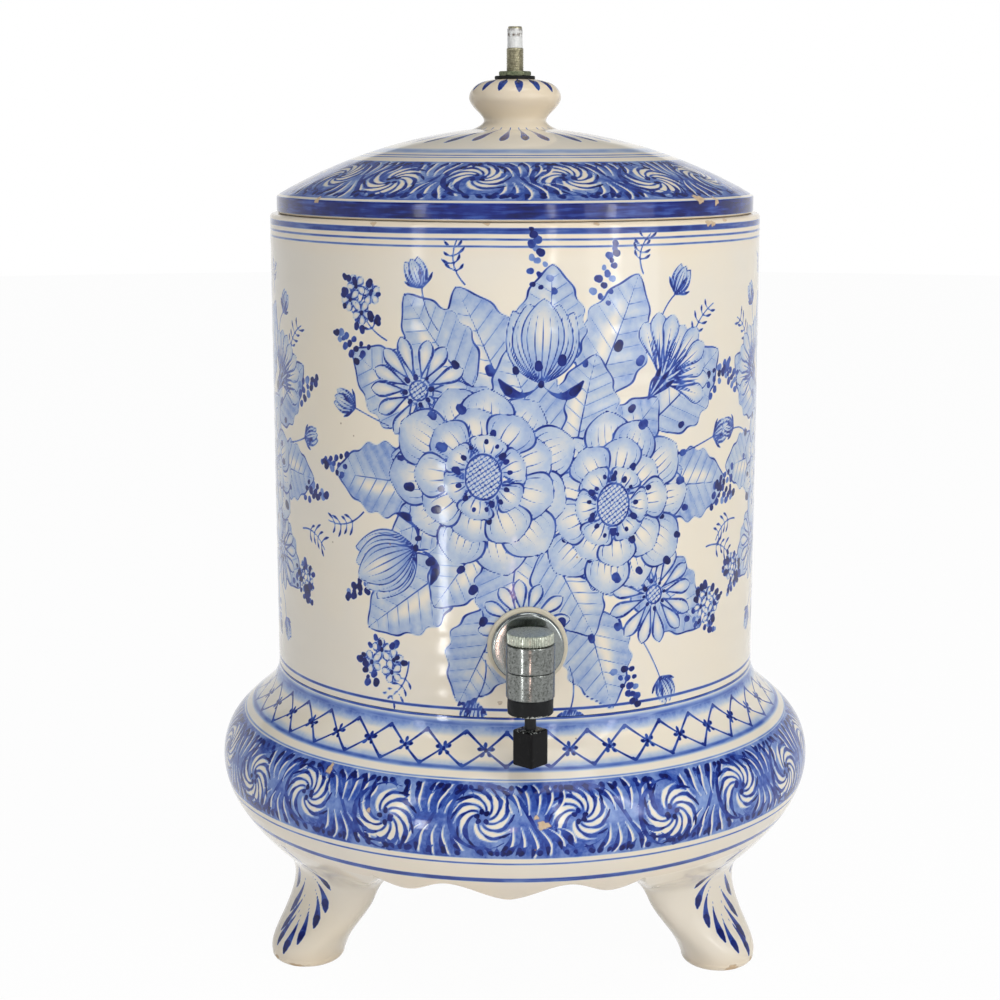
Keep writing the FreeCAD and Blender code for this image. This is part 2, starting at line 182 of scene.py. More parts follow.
def quads_of(rows, columns, close_rows, close_columns):
    """The four corners of each cell of a grid, in the order that points outwards when rows go up
    the outside and columns go round with the angle."""
    i = np.arange(rows if close_rows else rows - 1)[:, None]
    j = np.arange(columns if close_columns else columns - 1)[None, :]
    up, on = (i + 1) % rows, (j + 1) % columns
    return np.stack([i * columns + j, i * columns + on, up * columns + on, up * columns + j], -1).reshape(-1, 4)


def place_mesh(name, points, quads, ends=(), sharp=40.0):
    """A mesh object from points in millimetres, four-sided faces and any many-sided end faces."""
    mesh = bpy.data.meshes.new(name)
    sizes = np.concatenate([np.full(len(quads), 4), [len(e) for e in ends]]).astype(np.int32)
    corners = np.concatenate([np.asarray(quads).reshape(-1)] + [np.asarray(e) for e in ends]).astype(np.int32)
    mesh.vertices.add(len(points))
    mesh.vertices.foreach_set("co", (np.asarray(points, np.float64) * MM).astype(np.float32).reshape(-1))
    mesh.loops.add(len(corners))
    mesh.loops.foreach_set("vertex_index", corners)
    mesh.polygons.add(len(sizes))
    mesh.polygons.foreach_set("loop_start", np.concatenate([[0], np.cumsum(sizes)[:-1]]).astype(np.int32))
    mesh.update(calc_edges=True)
    mesh.validate()
    mesh.shade_smooth()
    mesh.set_sharp_from_angle(angle=math.radians(sharp))
    obj = bpy.data.objects.new(name, mesh)
    bpy.context.scene.collection.objects.link(obj)
    return obj


def lay_out(obj, rows, columns, close_rows, close_columns, share):
    """The flat layout for baking: along the columns by their number, and up the rows by share,
    which gives each row its place from 0 to 1. End faces shrink to one corner."""
    i = np.arange(rows if close_rows else rows - 1)[:, None]
    j = np.arange(columns if close_columns else columns - 1)[None, :]
    share = np.append(share, 1.0)
    last = columns if close_columns else columns - 1
    u0, u1 = np.broadcast_arrays(j / last, (j + 1) / last + 0.0 * i)
    v0, v1 = np.broadcast_arrays(share[i] + 0.0 * j, share[i + 1])
    flat = np.stack([u0 + 0 * v0, v0, u1 + 0 * v0, v0, u1 + 0 * v1, v1, u0 + 0 * v1, v1], -1).reshape(-1, 2)
    rest = len(obj.data.loops) - len(flat)
    flat = np.concatenate([flat, np.full((rest, 2), 0.999)]) * 0.996 + 0.002
    layer = obj.data.uv_layers.new(name="OFBake")
    layer.uv.foreach_set("vector", flat.astype(np.float32).reshape(-1))


def dress(obj, material, body, nodes=()):
    """Gives a piece its material, body, material slot and the CAD nodes it stands for."""
    obj.data.materials.clear()
    obj.data.materials.append(material)
    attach(obj, body)
    if nodes:
        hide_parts(*nodes)
    return obj


def hold(obj, **layers):
    """Keeps one number a point for each named layer, for the material to read."""
    for name, values in layers.items():
        layer = obj.data.attributes.new(name, "FLOAT", "POINT")
        layer.data.foreach_set("value", np.ascontiguousarray(values, np.float32).reshape(-1))


def turned(name, outline, columns=96, y=0.0, sharp=40.0, along_y=False, wave=None, ends=False):
    """A closed outline of (radius, height) carried round an upright axis, or round the tap's shank
    with the height measured along +Y. wave gives a change of radius for each angle and point. With
    ends the outline is open, and its two ends are closed flat."""
    p = np.asarray(outline, float)
    angle = once_round(columns)
    r, h = p[:, :1] + 0.0 * angle, p[:, 1:] + 0.0 * angle
    if wave is not None:
        r = r + wave(r, h, angle[None, :])
    if along_y:
        points = np.stack([r * np.sin(angle), h, TAP_Z + r * np.cos(angle)], -1)
    else:
        points = np.stack([r * np.sin(angle), y - r * np.cos(angle), h], -1)
    ring = np.arange(columns)
    caps = (ring[::-1], (len(p) - 1) * columns + ring) if ends else ()
    return place_mesh(name, points.reshape(-1, 3), quads_of(len(p), columns, not ends, True), caps, sharp)


def joined(name, parts):
    """Several meshes as one piece."""
    for part in parts:
        part.select_set(True)
    bpy.context.view_layer.objects.active = parts[0]
    with bpy.context.temp_override(active_object=parts[0], selected_editable_objects=parts, object=parts[0]):
        bpy.ops.object.join()
    parts[0].name = name
    parts[0].data.name = name
    bpy.ops.object.select_all(action="DESELECT")
    return parts[0]


# Brushwork: each layer holds how deep a point lies inside the marks, and the material sharpens it

class Glaze:
    """A stretch of glaze laid flat, with u round the pot and v up its surface, in millimetres."""

    def __init__(self, length, columns, v):
        self.length, self.columns, self.v = length, columns, np.asarray(v, float)
        self.step = length / columns
        self.wash, self.light, self.mid, self.dark = (np.zeros((len(self.v), columns), np.float32) for _ in range(4))

    def window(self, low_u, high_u, low_v, high_v):
        """The cells of a box, as an index that wraps round the pot, with their places."""
        i = np.arange(int(low_u // self.step), int(high_u // self.step) + 2)
        j = np.arange(*np.searchsorted(self.v, [low_v, high_v]))
        return np.ix_(j, i % self.columns), (i * self.step)[None, :], self.v[j][:, None]

    def near(self, path, half):
        """The cells that a mark along a path can reach."""
        reach = half.max() + SOFT
        low, high = path.min(0) - reach, path.max(0) + reach
        return self.window(low[0], high[0], low[1], high[1])

    def on_rows(self, total, first):
        """The four layers placed among the rows of a closed outline, from row first."""
        placed = {}
        for name in LAYERS:
            placed[name] = np.zeros((total, self.columns), np.float32)
            placed[name][first:first + len(self.v)] = getattr(self, name)
        return placed


def mark_depth(u, v, path, half):
    """How deep each point lies inside a brush mark: the half-width less the distance to each short
    run of the path, the largest kept."""
    depth = np.full(np.broadcast(u, v).shape, -1e3)
    for (ax, ay), (bx, by), ra, rb in zip(path[:-1], path[1:], half[:-1], half[1:]):
        ex, ey = bx - ax, by - ay
        t = np.clip(((u - ax) * ex + (v - ay) * ey) / (ex * ex + ey * ey + 1e-9), 0.0, 1.0)
        depth = np.maximum(depth, ra + (rb - ra) * t - np.hypot(u - ax - t * ex, v - ay - t * ey))
    return depth


def level(depth):
    """Depth as a level: one half on the mark's edge, rising inwards."""
    return np.clip(0.5 + 0.5 * depth / SOFT, 0.0, 1.0)


def brush(glaze, layer, path, half):
    """Lays one mark on a layer, nowhere thinner than the finest line the mesh can carry."""
    path, half = np.asarray(path, float), np.maximum(half, FINEST)
    index, u, v = glaze.near(path, half)
    if index[0].size == 0:
        return
    sheet = getattr(glaze, layer)
    sheet[index] = np.maximum(sheet[index], level(mark_depth(u, v, path, half)))


def lift(glaze, index, depth, wash=0.0):
    """Clears what lies inside a shape, and leaves a wash of the given strength there."""
    out = level(-depth)
    for sheet in (glaze.light, glaze.mid, glaze.dark):
        sheet[index] = np.minimum(sheet[index], out)
    cover = np.clip(0.5 + depth / 0.6, 0.0, 1.0)
    glaze.wash[index] = glaze.wash[index] * (1.0 - cover) + wash * cover


def lift_mark(glaze, path, half):
    """A bare mark left in the wash."""
    path, half = np.asarray(path, float), np.asarray(half, float)
    index, u, v = glaze.near(path, half)
    if index[0].size:
        lift(glaze, index, mark_depth(u, v, path, half))


def bow(a, b, bend, count=9):
    """A path from a to b that leaves the straight line by bend at its middle, on its left."""
    t = np.linspace(0.0, 1.0, count)[:, None]
    a, b = np.asarray(a, float), np.asarray(b, float)
    side = np.array([a[1] - b[1], b[0] - a[0]])
    side = side / (np.hypot(*side) + 1e-9)
    return a + (b - a) * t + side * bend * 4.0 * t * (1.0 - t)


def swell(count, half, peak=0.65, thin=0.12):
    """Half-widths along a mark: thin at its start, widest at peak, closed to a round end."""
    t = np.linspace(0.0, 1.0, count)
    rise = np.clip(t / peak, 0.0, 1.0) ** 1.2
    fall = np.sqrt(np.clip((1.02 - t) / (1.02 - peak), 0.0, 1.0))
    return half * np.maximum(rise * fall, thin)


def drop(glaze, a, b, half, bend=0.0, layer="mid", tip=True, peak=0.72):
    """A teardrop mark from a fine start to a round end, with a darker end where the colour pools."""
    path = bow(a, b, bend)
    widths = swell(len(path), half, peak)
    brush(glaze, layer, path, widths)
    if tip:
        brush(glaze, "dark", path[-3:], widths[-3:] * 0.82)


def dot(glaze, x, y, r, layer="dark", stretch=0.5, angle=1.3):
    """A short dab."""
    dx, dy = 0.5 * stretch * r * math.cos(angle), 0.5 * stretch * r * math.sin(angle)
    brush(glaze, layer, [(x - dx, y - dy), (x + dx, y + dy)], [r, 0.85 * r])


def petal_frame(glaze, x, y, angle, length, width, belly, bend):
    """A petal's own frame: t runs along it, q is -1 to 1 across it, and depth is its half-width less
    the distance off its middle line. The half-width is a sine of t to a power, widest at belly."""
    reach = length + width
    index, u, v = glaze.window(x - reach, x + reach, y - reach, y + reach)
    c, s = math.cos(angle), math.sin(angle)
    along = (u - x) * c + (v - y) * s
    across = (v - y) * c - (u - x) * s
    t = np.clip(along / length, 0.0, 1.0)
    across = across - bend * t * t * length
    power = math.log(0.5) / math.log(belly)
    half = width * np.sin(math.pi * t ** power) ** 0.75
    over = np.maximum(np.maximum(-along, along - length), 0.0)
    depth = np.where(over > 0.0, -np.hypot(across, over), (half - np.abs(across)) * 0.9)
    return index, t, across / np.maximum(half, 0.4), depth, half


def petal(glaze, x, y, angle, length, width, belly=0.68, bend=0.0, tone=0.36, lines=5, edge=0.6, pale=1.0):
    """A petal: cleared, washed darker towards its root and sides with a pale middle, with fine lines
    that run out from its root and a drawn edge."""
    index, t, q, depth, half = petal_frame(glaze, x, y, angle, length, width, belly, bend)
    if index[0].size == 0:
        return
    inside = np.clip(0.5 + depth / 0.6, 0.0, 1.0)
    lift(glaze, index, depth + 0.2)
    shade = tone * (1.0 - pale * np.exp(-((q / 0.6) ** 2) - ((t - 0.6) / 0.3) ** 2) + 0.9 * (1.0 - t) ** 3)
    glaze.wash[index] = glaze.wash[index] * (1.0 - inside) + np.clip(shade, 0.0, 1.0) * inside
    rim = edge - np.abs(depth - 0.8 * edge)
    glaze.mid[index] = np.maximum(glaze.mid[index], level(rim))
    if lines:
        places = np.linspace(-0.72, 0.72, lines)
        near = np.abs(q[..., None] - places).min(-1) * half
        fine = 0.42 * np.clip((0.86 - t) / 0.4, 0.0, 1.0) ** 0.5 - near
        fine = np.minimum(fine, np.minimum(depth, (t - 0.02) * 30.0))
        glaze.mid[index] = np.maximum(glaze.mid[index], level(fine) * (fine > -SOFT))


def leaf(glaze, x, y, angle, length, width, bend=0.0, tone=0.5, veins=7, lobes=5):
    """A broad leaf: washed in streaks that follow its veins, a bare gap along one side of the middle
    rib, a scalloped drawn edge, and the rib and veins as fine lines."""
    index, t, q, depth, half = petal_frame(glaze, x, y, angle, length, width, 0.42, bend)
    if index[0].size == 0:
        return
    away = np.clip(1.4 - np.abs(1.0 - 2.0 * t) * 1.4, 0.0, 1.0)
    depth = depth + 0.055 * width * np.cos(t * lobes * TURN) * away
    inside = np.clip(0.5 + depth / 0.6, 0.0, 1.0)
    across = q * half
    run = t * length - np.abs(across) * 0.62
    beat = run * veins / length
    streak = 0.5 + 0.5 * np.cos(beat * TURN + 0.8)
    ends = np.clip((0.85 - t) * 4.0, 0.0, 1.0) * np.clip((t - 0.15) * 6.0, 0.0, 1.0)
    gap = np.exp(-((q - 0.24) / 0.22) ** 2) * ends
    shade = tone * (0.68 + 0.3 * streak + 0.25 * np.abs(q)) * (1.0 - 0.95 * gap)
    lift(glaze, index, depth + 0.2)
    glaze.wash[index] = glaze.wash[index] * (1.0 - inside) + np.clip(shade, 0.0, 1.0) * inside
    rim = 0.46 + 0.22 * np.sin(t * 9.0) - np.abs(depth - 0.4)
    rib = 0.4 * (1.1 - t) + 0.16 - np.abs(across)
    vein = 0.4 - np.abs(beat - np.round(beat)) * length / veins * 0.85
    vein = np.minimum(vein, np.minimum(depth - 1.2, 6.0 * (0.93 - t)))
    glaze.light[index] = np.maximum(glaze.light[index], level(vein))
    glaze.mid[index] = np.maximum(glaze.mid[index], level(np.maximum(rim, np.minimum(rib, depth))))


def hatched_eye(glaze, x, y, rx, ry, rng, ring=13):
    """A flower's middle: an oval cleared and filled with crossed lines, a drawn edge and a ring of dabs."""
    reach = max(rx, ry) + 4.0
    index, u, v = glaze.window(x - reach, x + reach, y - reach, y + reach)
    a, b = (u - x) / rx, (v - y) / ry
    depth = (1.0 - np.hypot(a, b)) * min(rx, ry)
    lift(glaze, index, depth + 0.4, 0.25)
    gap = 2.1
    ways = [(u * c + v * s) / gap for c, s in ((0.82, 0.57), (-0.57, 0.82))]
    cross = [np.abs(way - np.round(way)) * gap for way in ways]
    lines = np.minimum(0.3 - np.minimum(*cross), depth)
    rim = 0.5 - np.abs(depth - 0.4)
    glaze.mid[index] = np.maximum(glaze.mid[index], level(np.maximum(lines, rim)))
    for k in range(ring):
        w = TURN * (k + 0.3 * rng.random()) / ring
        far = 1.22 + 0.3 * rng.random()
        dot(glaze, x + rx * far * math.cos(w), y + ry * far * math.sin(w), 1.0 + 0.7 * rng.random(), angle=w)


def rosette(glaze, x, y, r, rng, rings=((11, 1.0, 0.30), (9, 0.72, 0.27), (6, 0.46, 0.2)), eye=0.2, turn=0.0):
    """A many-petalled flower: rings of petals laid from the outside in, with dark dabs between them."""
    for n, far, wide in rings:
        for k in rng.permutation(n):
            w = turn + TURN * (k + 0.25 * (rng.random() - 0.5)) / n
            reach = r * far * (0.92 + 0.16 * rng.random())
            root = 0.12 * r
            px, py = x + root * math.cos(w), y + root * math.sin(w)
            petal(glaze, px, py, w, reach - root, r * wide * (0.9 + 0.2 * rng.random()), 0.7,
                  0.16 * (rng.random() - 0.5), 0.42 + 0.15 * rng.random(), 4 + n % 3, 0.62)
        for k in range(n):
            if rng.random() < 0.55:
                w = turn + TURN * (k + 0.5) / n
                off = r * far * 0.66
                dot(glaze, x + off * math.cos(w), y + off * math.sin(w), 1.5 + 0.8 * rng.random(), angle=w)
    hatched_eye(glaze, x, y, eye * r, eye * r * 1.25, rng)


def daisy(glaze, x, y, r, rng, petals=14):
    """A flower with one ring of narrow petals."""
    for k in rng.permutation(petals):
        w = TURN * (k + 0.3 * rng.random()) / petals
        px, py = x + 0.15 * r * math.cos(w), y + 0.15 * r * math.sin(w)
        petal(glaze, px, py, w, r * (0.82 + 0.1 * rng.random()), 0.16 * r, 0.72, 0.0,
              0.34 + 0.15 * rng.random(), 2, 0.5, 0.9)
    hatched_eye(glaze, x, y, 0.2 * r, 0.2 * r, rng, 8)


def tulip(glaze, x, y, angle, size):
    """A cup of five upright petals, the middle one last, on two curled sepals."""
    for spread, wide in ((-0.85, 0.2), (0.85, 0.2), (-0.42, 0.24), (0.42, 0.24), (0.0, 0.26)):
        petal(glaze, x, y, angle + spread * 0.75, size * (1.0 - 0.12 * abs(spread)), size * wide, 0.55,
              -0.28 * spread, 0.45, 5, 0.42)
    for side in (-1, 1):
        end = (x + size * 0.5 * math.cos(angle + side * 1.5), y + size * 0.5 * math.sin(angle + side * 1.5))
        drop(glaze, (x, y), end, 0.055 * size + 0.6, side * 0.16 * size)
    dot(glaze, x, y, 1.8)


def carnation(glaze, x, y, angle, size, rng):
    """A fan of toothed petals over a long dark cup."""
    for k in rng.permutation(9):
        w = angle + (k - 4.0) * 0.27
        petal(glaze, x, y, w, size * (0.86 + 0.16 * rng.random()), size * 0.15, 0.8, 0.0, 0.42, 3, 0.4)
    for k in range(13):
        w = angle + (k - 6.0) * 0.17
        a = (x + size * 0.25 * math.cos(w), y + size * 0.25 * math.sin(w))
        b = (x + size * (0.55 + 0.1 * rng.random()) * math.cos(w), y + size * 0.6 * math.sin(w))
        brush(glaze, "mid", bow(a, b, 0.3), swell(9, 0.5, 0.2))
    for side in (-0.35, 0.0, 0.35):
        a = (x - size * 0.3 * math.cos(angle), y - size * 0.3 * math.sin(angle))
        b = (x + size * 0.24 * math.cos(angle + side * 2.0), y + size * 0.24 * math.sin(angle + side * 2.0))
        drop(glaze, a, b, 1.7, 0.0, "mid")


def bud(glaze, x, y, angle, size, rng, stalk=14.0):
    """A closed bud on a bent stalk, with three dark sepals."""
    foot = (x - stalk * math.cos(angle), y - stalk * math.sin(angle))
    brush(glaze, "mid", bow(foot, (x, y), 6.0 * (rng.random() - 0.5)), np.full(9, 0.42))
    for spread in (-0.35, 0.35, 0.0):
        petal(glaze, x, y, angle + spread, size, size * 0.26, 0.5, -0.3 * spread, 0.4, 4, 0.36, 0.5)
    for spread in (-1.0, -0.25, 0.9):
        end = (x + 0.62 * size * math.cos(angle + spread), y + 0.62 * size * math.sin(angle + spread))
        drop(glaze, (x, y), end, 0.9, 0.8 * spread)


def berries(glaze, x, y, angle, length, rng, count=15, width=5.5):
    """A spray of dabs that narrows towards its tip."""
    for k in range(count):
        t = (k + 0.5 * rng.random()) / count
        side = (k % 3 - 1.0) * (0.75 + 0.4 * rng.random())
        off = side * width * (1.1 - t)
        px = x + length * t * math.cos(angle) - off * math.sin(angle)
        py = y + length * t * math.sin(angle) + off * math.cos(angle)
        layer = ("dark", "mid", "light")[int(rng.choice(3, p=(0.42, 0.36, 0.22)))]
        dot(glaze, px, py, 1.3 + 0.9 * rng.random(), layer, 0.5, angle + 2.0 * rng.random())


def sprig(glaze, x, y, angle, length, rng, bend, pairs=4):
    """A thin bent stem with small drop leaves along both sides."""
    end = (x + length * math.cos(angle), y + length * math.sin(angle))
    path = bow((x, y), end, bend, 13)
    brush(glaze, "mid", path, np.linspace(0.5, 0.3, 13))
    for k in range(pairs):
        t = 0.3 + 0.66 * (k + 0.5) / pairs
        at = path[int(t * 12)]
        for side in (-1, 1):
            w = angle + side * (0.75 + 0.4 * rng.random())
            size = 5.0 + 3.0 * rng.random()
            drop(glaze, at, (at[0] + size * math.cos(w), at[1] + size * math.sin(w)), 0.85, side * 0.7)


def posy(glaze, x, y, r, rng):
    """A small cluster: four little blooms among dabs."""
    for k in range(4):
        w = TURN * k / 4.0 + rng.random()
        far = 0.48 * r
        cx, cy = x + far * math.cos(w), y + far * math.sin(w)
        for n in range(5):
            a = TURN * n / 5.0 + w
            petal(glaze, cx, cy, a, 0.44 * r, 0.17 * r, 0.65, 0.0, 0.4, 2, 0.34)
        dot(glaze, cx, cy, 1.3)
    for k in range(18):
        w, far = TURN * rng.random(), r * (0.55 + 0.6 * rng.random())
        r_dab = 1.0 + 1.2 * rng.random()
        layer = "dark" if rng.random() < 0.7 else "mid"
        dot(glaze, x + far * math.cos(w), y + far * math.sin(w), r_dab, layer, 0.7, w)


# A bunch laid out round its middle. Each row starts with the place across and up, and the direction
# in degrees. Leaves then have a length and a width, sprigs and sprays of berries a length.
OUTER_LEAVES = [
    (-20, 52, 112, 58, 18), (30, 56, 64, 58, 18), (64, 36, 36, 54, 18), (-58, 38, 148, 54, 18),
    (-66, 2, 182, 50, 17), (70, -2, -2, 48, 17), (56, -46, -42, 54, 18), (-52, -44, 220, 54, 18),
    (-22, -66, 250, 50, 17), (24, -68, -74, 50, 17), (4, 64, 90, 50, 16), (-40, 56, 130, 52, 16),
]
INNER_LEAVES = [
    (38.0 * math.cos(0.55 * k), 34.0 * math.sin(0.55 * k) - 4.0, math.degrees(0.55 * k) + 14.0, 48.0, 17.0)
    for k in range(12)
]
SPRIGS = [
    (-72, 66, 128, 26), (76, 60, 52, 26), (-86, -14, 196, 24), (90, -34, -22, 24), (-62, -82, 236, 24),
    (48, 96, 78, 18), (-34, 92, 100, 20),
]
BUDS = [
    (-54, 90, 112), (66, 86, 62), (-90, 34, 160), (94, 18, 14), (-30, -98, 256), (60, -92, -62), (14, -102, -88),
]
SPRAYS = [
    (0, 88, 98, 30), (26, 84, 72, 28), (-84, 58, 150, 22), (-96, 6, 176, 18), (88, 42, 28, 24),
    (94, -10, -6, 22), (-80, -44, 214, 22), (80, -62, -38, 24), (40, -84, -70, 22), (-6, -88, -96, 16),
]


def bouquet(glaze, x, y, rng, mirror=1.0, size=1.0):
    """A whole bunch: broad leaves behind, sprays and buds at its rim, then the blooms."""
    def at(dx, dy):
        return x + mirror * dx * size, y + dy * size

    def turned_angle(degrees):
        w = math.radians(degrees)
        return w if mirror > 0 else math.pi - w

    for dx, dy, degrees, length, width in OUTER_LEAVES + INNER_LEAVES:
        px, py = at(dx, dy)
        w = turned_angle(degrees + 6.0 * (rng.random() - 0.5))
        leaf(glaze, px - 0.3 * length * math.cos(w), py - 0.3 * length * math.sin(w), w, length * size,
             width * size, 0.1 * mirror * (rng.random() - 0.5), 0.42 + 0.16 * rng.random(), 8, 5)
    for dx, dy, degrees, length in SPRIGS:
        sprig(glaze, *at(dx, dy), turned_angle(degrees), length * size, rng, 4.0 * mirror)
    for dx, dy, degrees in BUDS:
        bud(glaze, *at(dx, dy), turned_angle(degrees), 14.0 * size, rng, 20.0 * size)
    for dx, dy, degrees, length in SPRAYS:
        berries(glaze, *at(dx, dy), turned_angle(degrees), length * size, rng)
    posy(glaze, *at(-86, 84), 13.0 * size, rng)
    posy(glaze, *at(-76, -84), 13.0 * size, rng)
    posy(glaze, *at(92, -62), 11.0 * size, rng)
    carnation(glaze, *at(58, 46), turned_angle(46), 33.0 * size, rng)
    tulip(glaze, *at(-58, -28), turned_angle(208), 36.0 * size)
    tulip(glaze, *at(0, 48), turned_angle(88), 38.0 * size)
    daisy(glaze, *at(-56, 44), 24.0 * size, rng)
    daisy(glaze, *at(56, -52), 23.0 * size, rng, 13)
    daisy(glaze, *at(-8, -62), 21.0 * size, rng, 12)
    rosette(glaze, *at(34, -8), 41.0 * size, rng)
    rosette(glaze, *at(-26, 6), 43.0 * size, rng, turn=0.3)
    dabs = 34
    for k in range(dabs):
        w = TURN * k / dabs
        far = 52.0 + 22.0 * rng.random()
        r_dab = 1.5 + 1.3 * rng.random()
        place = at(4 + far * math.cos(w), far * math.sin(w))
        dot(glaze, *place, r_dab, "dark" if rng.random() < 0.65 else "mid", 0.7, w)


def whorl(glaze, x, y, r, way, start, rng):
    """A scroll: a fan of arcs that start on its rim and wind in to its middle, with bare arcs between."""
    t = np.linspace(0.0, 1.0, 12)
    for bare in (False, True):
        for k in range(9):
            w = start + way * (math.radians(36.0) * (k + 0.5 * bare) + math.radians(92.0) * t ** 0.9)
            far = r * (1.02 - 0.78 * t ** 0.9) * (1.0 + 0.05 * (rng.random() - 0.5))
            path = np.stack([x + far * np.cos(w), y + far * np.sin(w)], 1)
            if bare:
                lift_mark(glaze, path[1:], swell(11, 0.088 * r, 0.4, 0.15))
            else:
                brush(glaze, "mid", path, swell(12, 0.1 * r, 0.3, 0.3))
                brush(glaze, "dark", path[:3], swell(3, 0.06 * r, 0.4, 0.5))
    w = start + way * np.linspace(-0.9, 2.6, 16)
    rim = np.stack([x + 1.06 * r * np.cos(w), y + 1.06 * r * np.sin(w)], 1)
    brush(glaze, "mid", rim, swell(16, 0.1 * r, 0.5, 0.25))
    for k in range(5):
        w = k * TURN / 5.0 + rng.random()
        dot(glaze, x + 0.19 * r * math.cos(w), y + 0.19 * r * math.sin(w), 0.07 * r + 0.3, angle=w)


def running_scroll(glaze, low, high, count, rng):
    """A band of whorls that turn alternate ways, on a pale wash. Leaf marks fan out of the stem
    between two whorls, and short marks with dark ends line both edges."""
    inside = (glaze.v > low) & (glaze.v < high)
    around = once_round(glaze.columns)
    tone = 1.1 + 0.12 * np.sin(17 * around) + 0.05 * np.sin(41 * around + 1.0)
    glaze.wash[inside] = np.maximum(glaze.wash[inside], tone[None, :])
    height = high - low
    middle = 0.5 * (low + high)
    pitch = glaze.length / count
    r = 0.4 * height
    for k in range(count):
        way = 1 if k % 2 else -1
        x = (k + 0.5 + 0.05 * (rng.random() - 0.5)) * pitch
        y = middle - way * 0.045 * height
        gap = x + 0.5 * pitch
        stem = [(x + 0.1 * r, y - way * 1.05 * r), (x + 0.95 * r, y - way * 0.72 * r), (gap, middle),
                (gap + 0.5 * r, middle + way * 0.8 * r)]
        brush(glaze, "mid", curve_through(stem, 12), np.linspace(0.1 * r, 0.055 * r, 12))
        for side in (1, -1):
            for n in range(6):
                t = (n + 0.5) / 6.0
                root = (gap + (t - 0.5) * 0.9 * pitch * 0.55, middle + side * 0.08 * height)
                lean = (t - 0.5) * 1.5 + way * side * 0.25
                reach = height * (0.3 + 0.09 * math.cos((t - 0.5) * 3.0) + 0.03 * rng.random())
                tip = (root[0] + reach * math.sin(lean), root[1] + side * reach * math.cos(lean))
                bare = bow((root[0] + 0.05 * r, root[1]), (tip[0] + 0.09 * r, tip[1]), side * way * 0.12 * r)
                lift_mark(glaze, bare, swell(9, 0.095 * r, 0.6, 0.2))
                drop(glaze, root, tip, 0.1 * r, side * way * 0.12 * r)
        size = r * (0.96 + 0.08 * rng.random())
        whorl(glaze, x, y, size, way, way * 1.9 + 0.3 * rng.random(), rng)
    short = 0.17 * height
    marks = int(glaze.length / (0.15 * height))
    for k in range(marks):
        for side, edge in ((1, high), (-1, low)):
            x = (k + 0.5 * rng.random() + 0.25 * side) * glaze.length / marks
            reach = short * (0.8 + 0.5 * rng.random())
            lean = reach * 0.8 * math.sin(TURN * x / pitch + side) + 0.3 * reach * (rng.random() - 0.5)
            start, end = (x, edge - side * (reach + 0.4)), (x + lean, edge - side * 0.045 * height)
            drop(glaze, start, end, 0.05 * height * (0.75 + 0.3 * rng.random()), 0.1 * lean)


def lattice(glaze, low, high, count, rng):
    """Two zigzag lines that cross, with a star of five dabs on each crossing and a dab at each tip."""
    pitch = glaze.length / count
    middle, tall = 0.5 * (low + high), 0.5 * (high - low)
    for k in range(count):
        x = (k + 0.04 * (rng.random() - 0.5)) * pitch
        for way in (1, -1):
            a, b = (x - 0.5 * pitch, middle - way * tall), (x + 0.5 * pitch, middle + way * tall)
            half = 0.58 + 0.4 * np.abs(np.linspace(-1, 1, 9)) ** 2
            brush(glaze, "mid", bow(a, b, way * 1.2 * (rng.random() - 0.3)), half)
            dot(glaze, x + 0.5 * pitch, middle + way * 0.94 * tall, 1.0, "mid", 1.6, way * 0.9)
        for n in range(5):
            w = math.radians(72.0 * n + 20.0 + 24.0 * (rng.random() - 0.5))
            reach = 4.2 + 1.2 * rng.random()
            end = (x + reach * math.cos(w), middle + 0.85 * reach * math.sin(w))
            drop(glaze, (x, middle), end, 1.25, 0.0, "mid", n % 2 == 0)
        dot(glaze, x, middle, 1.2)


# Finishes

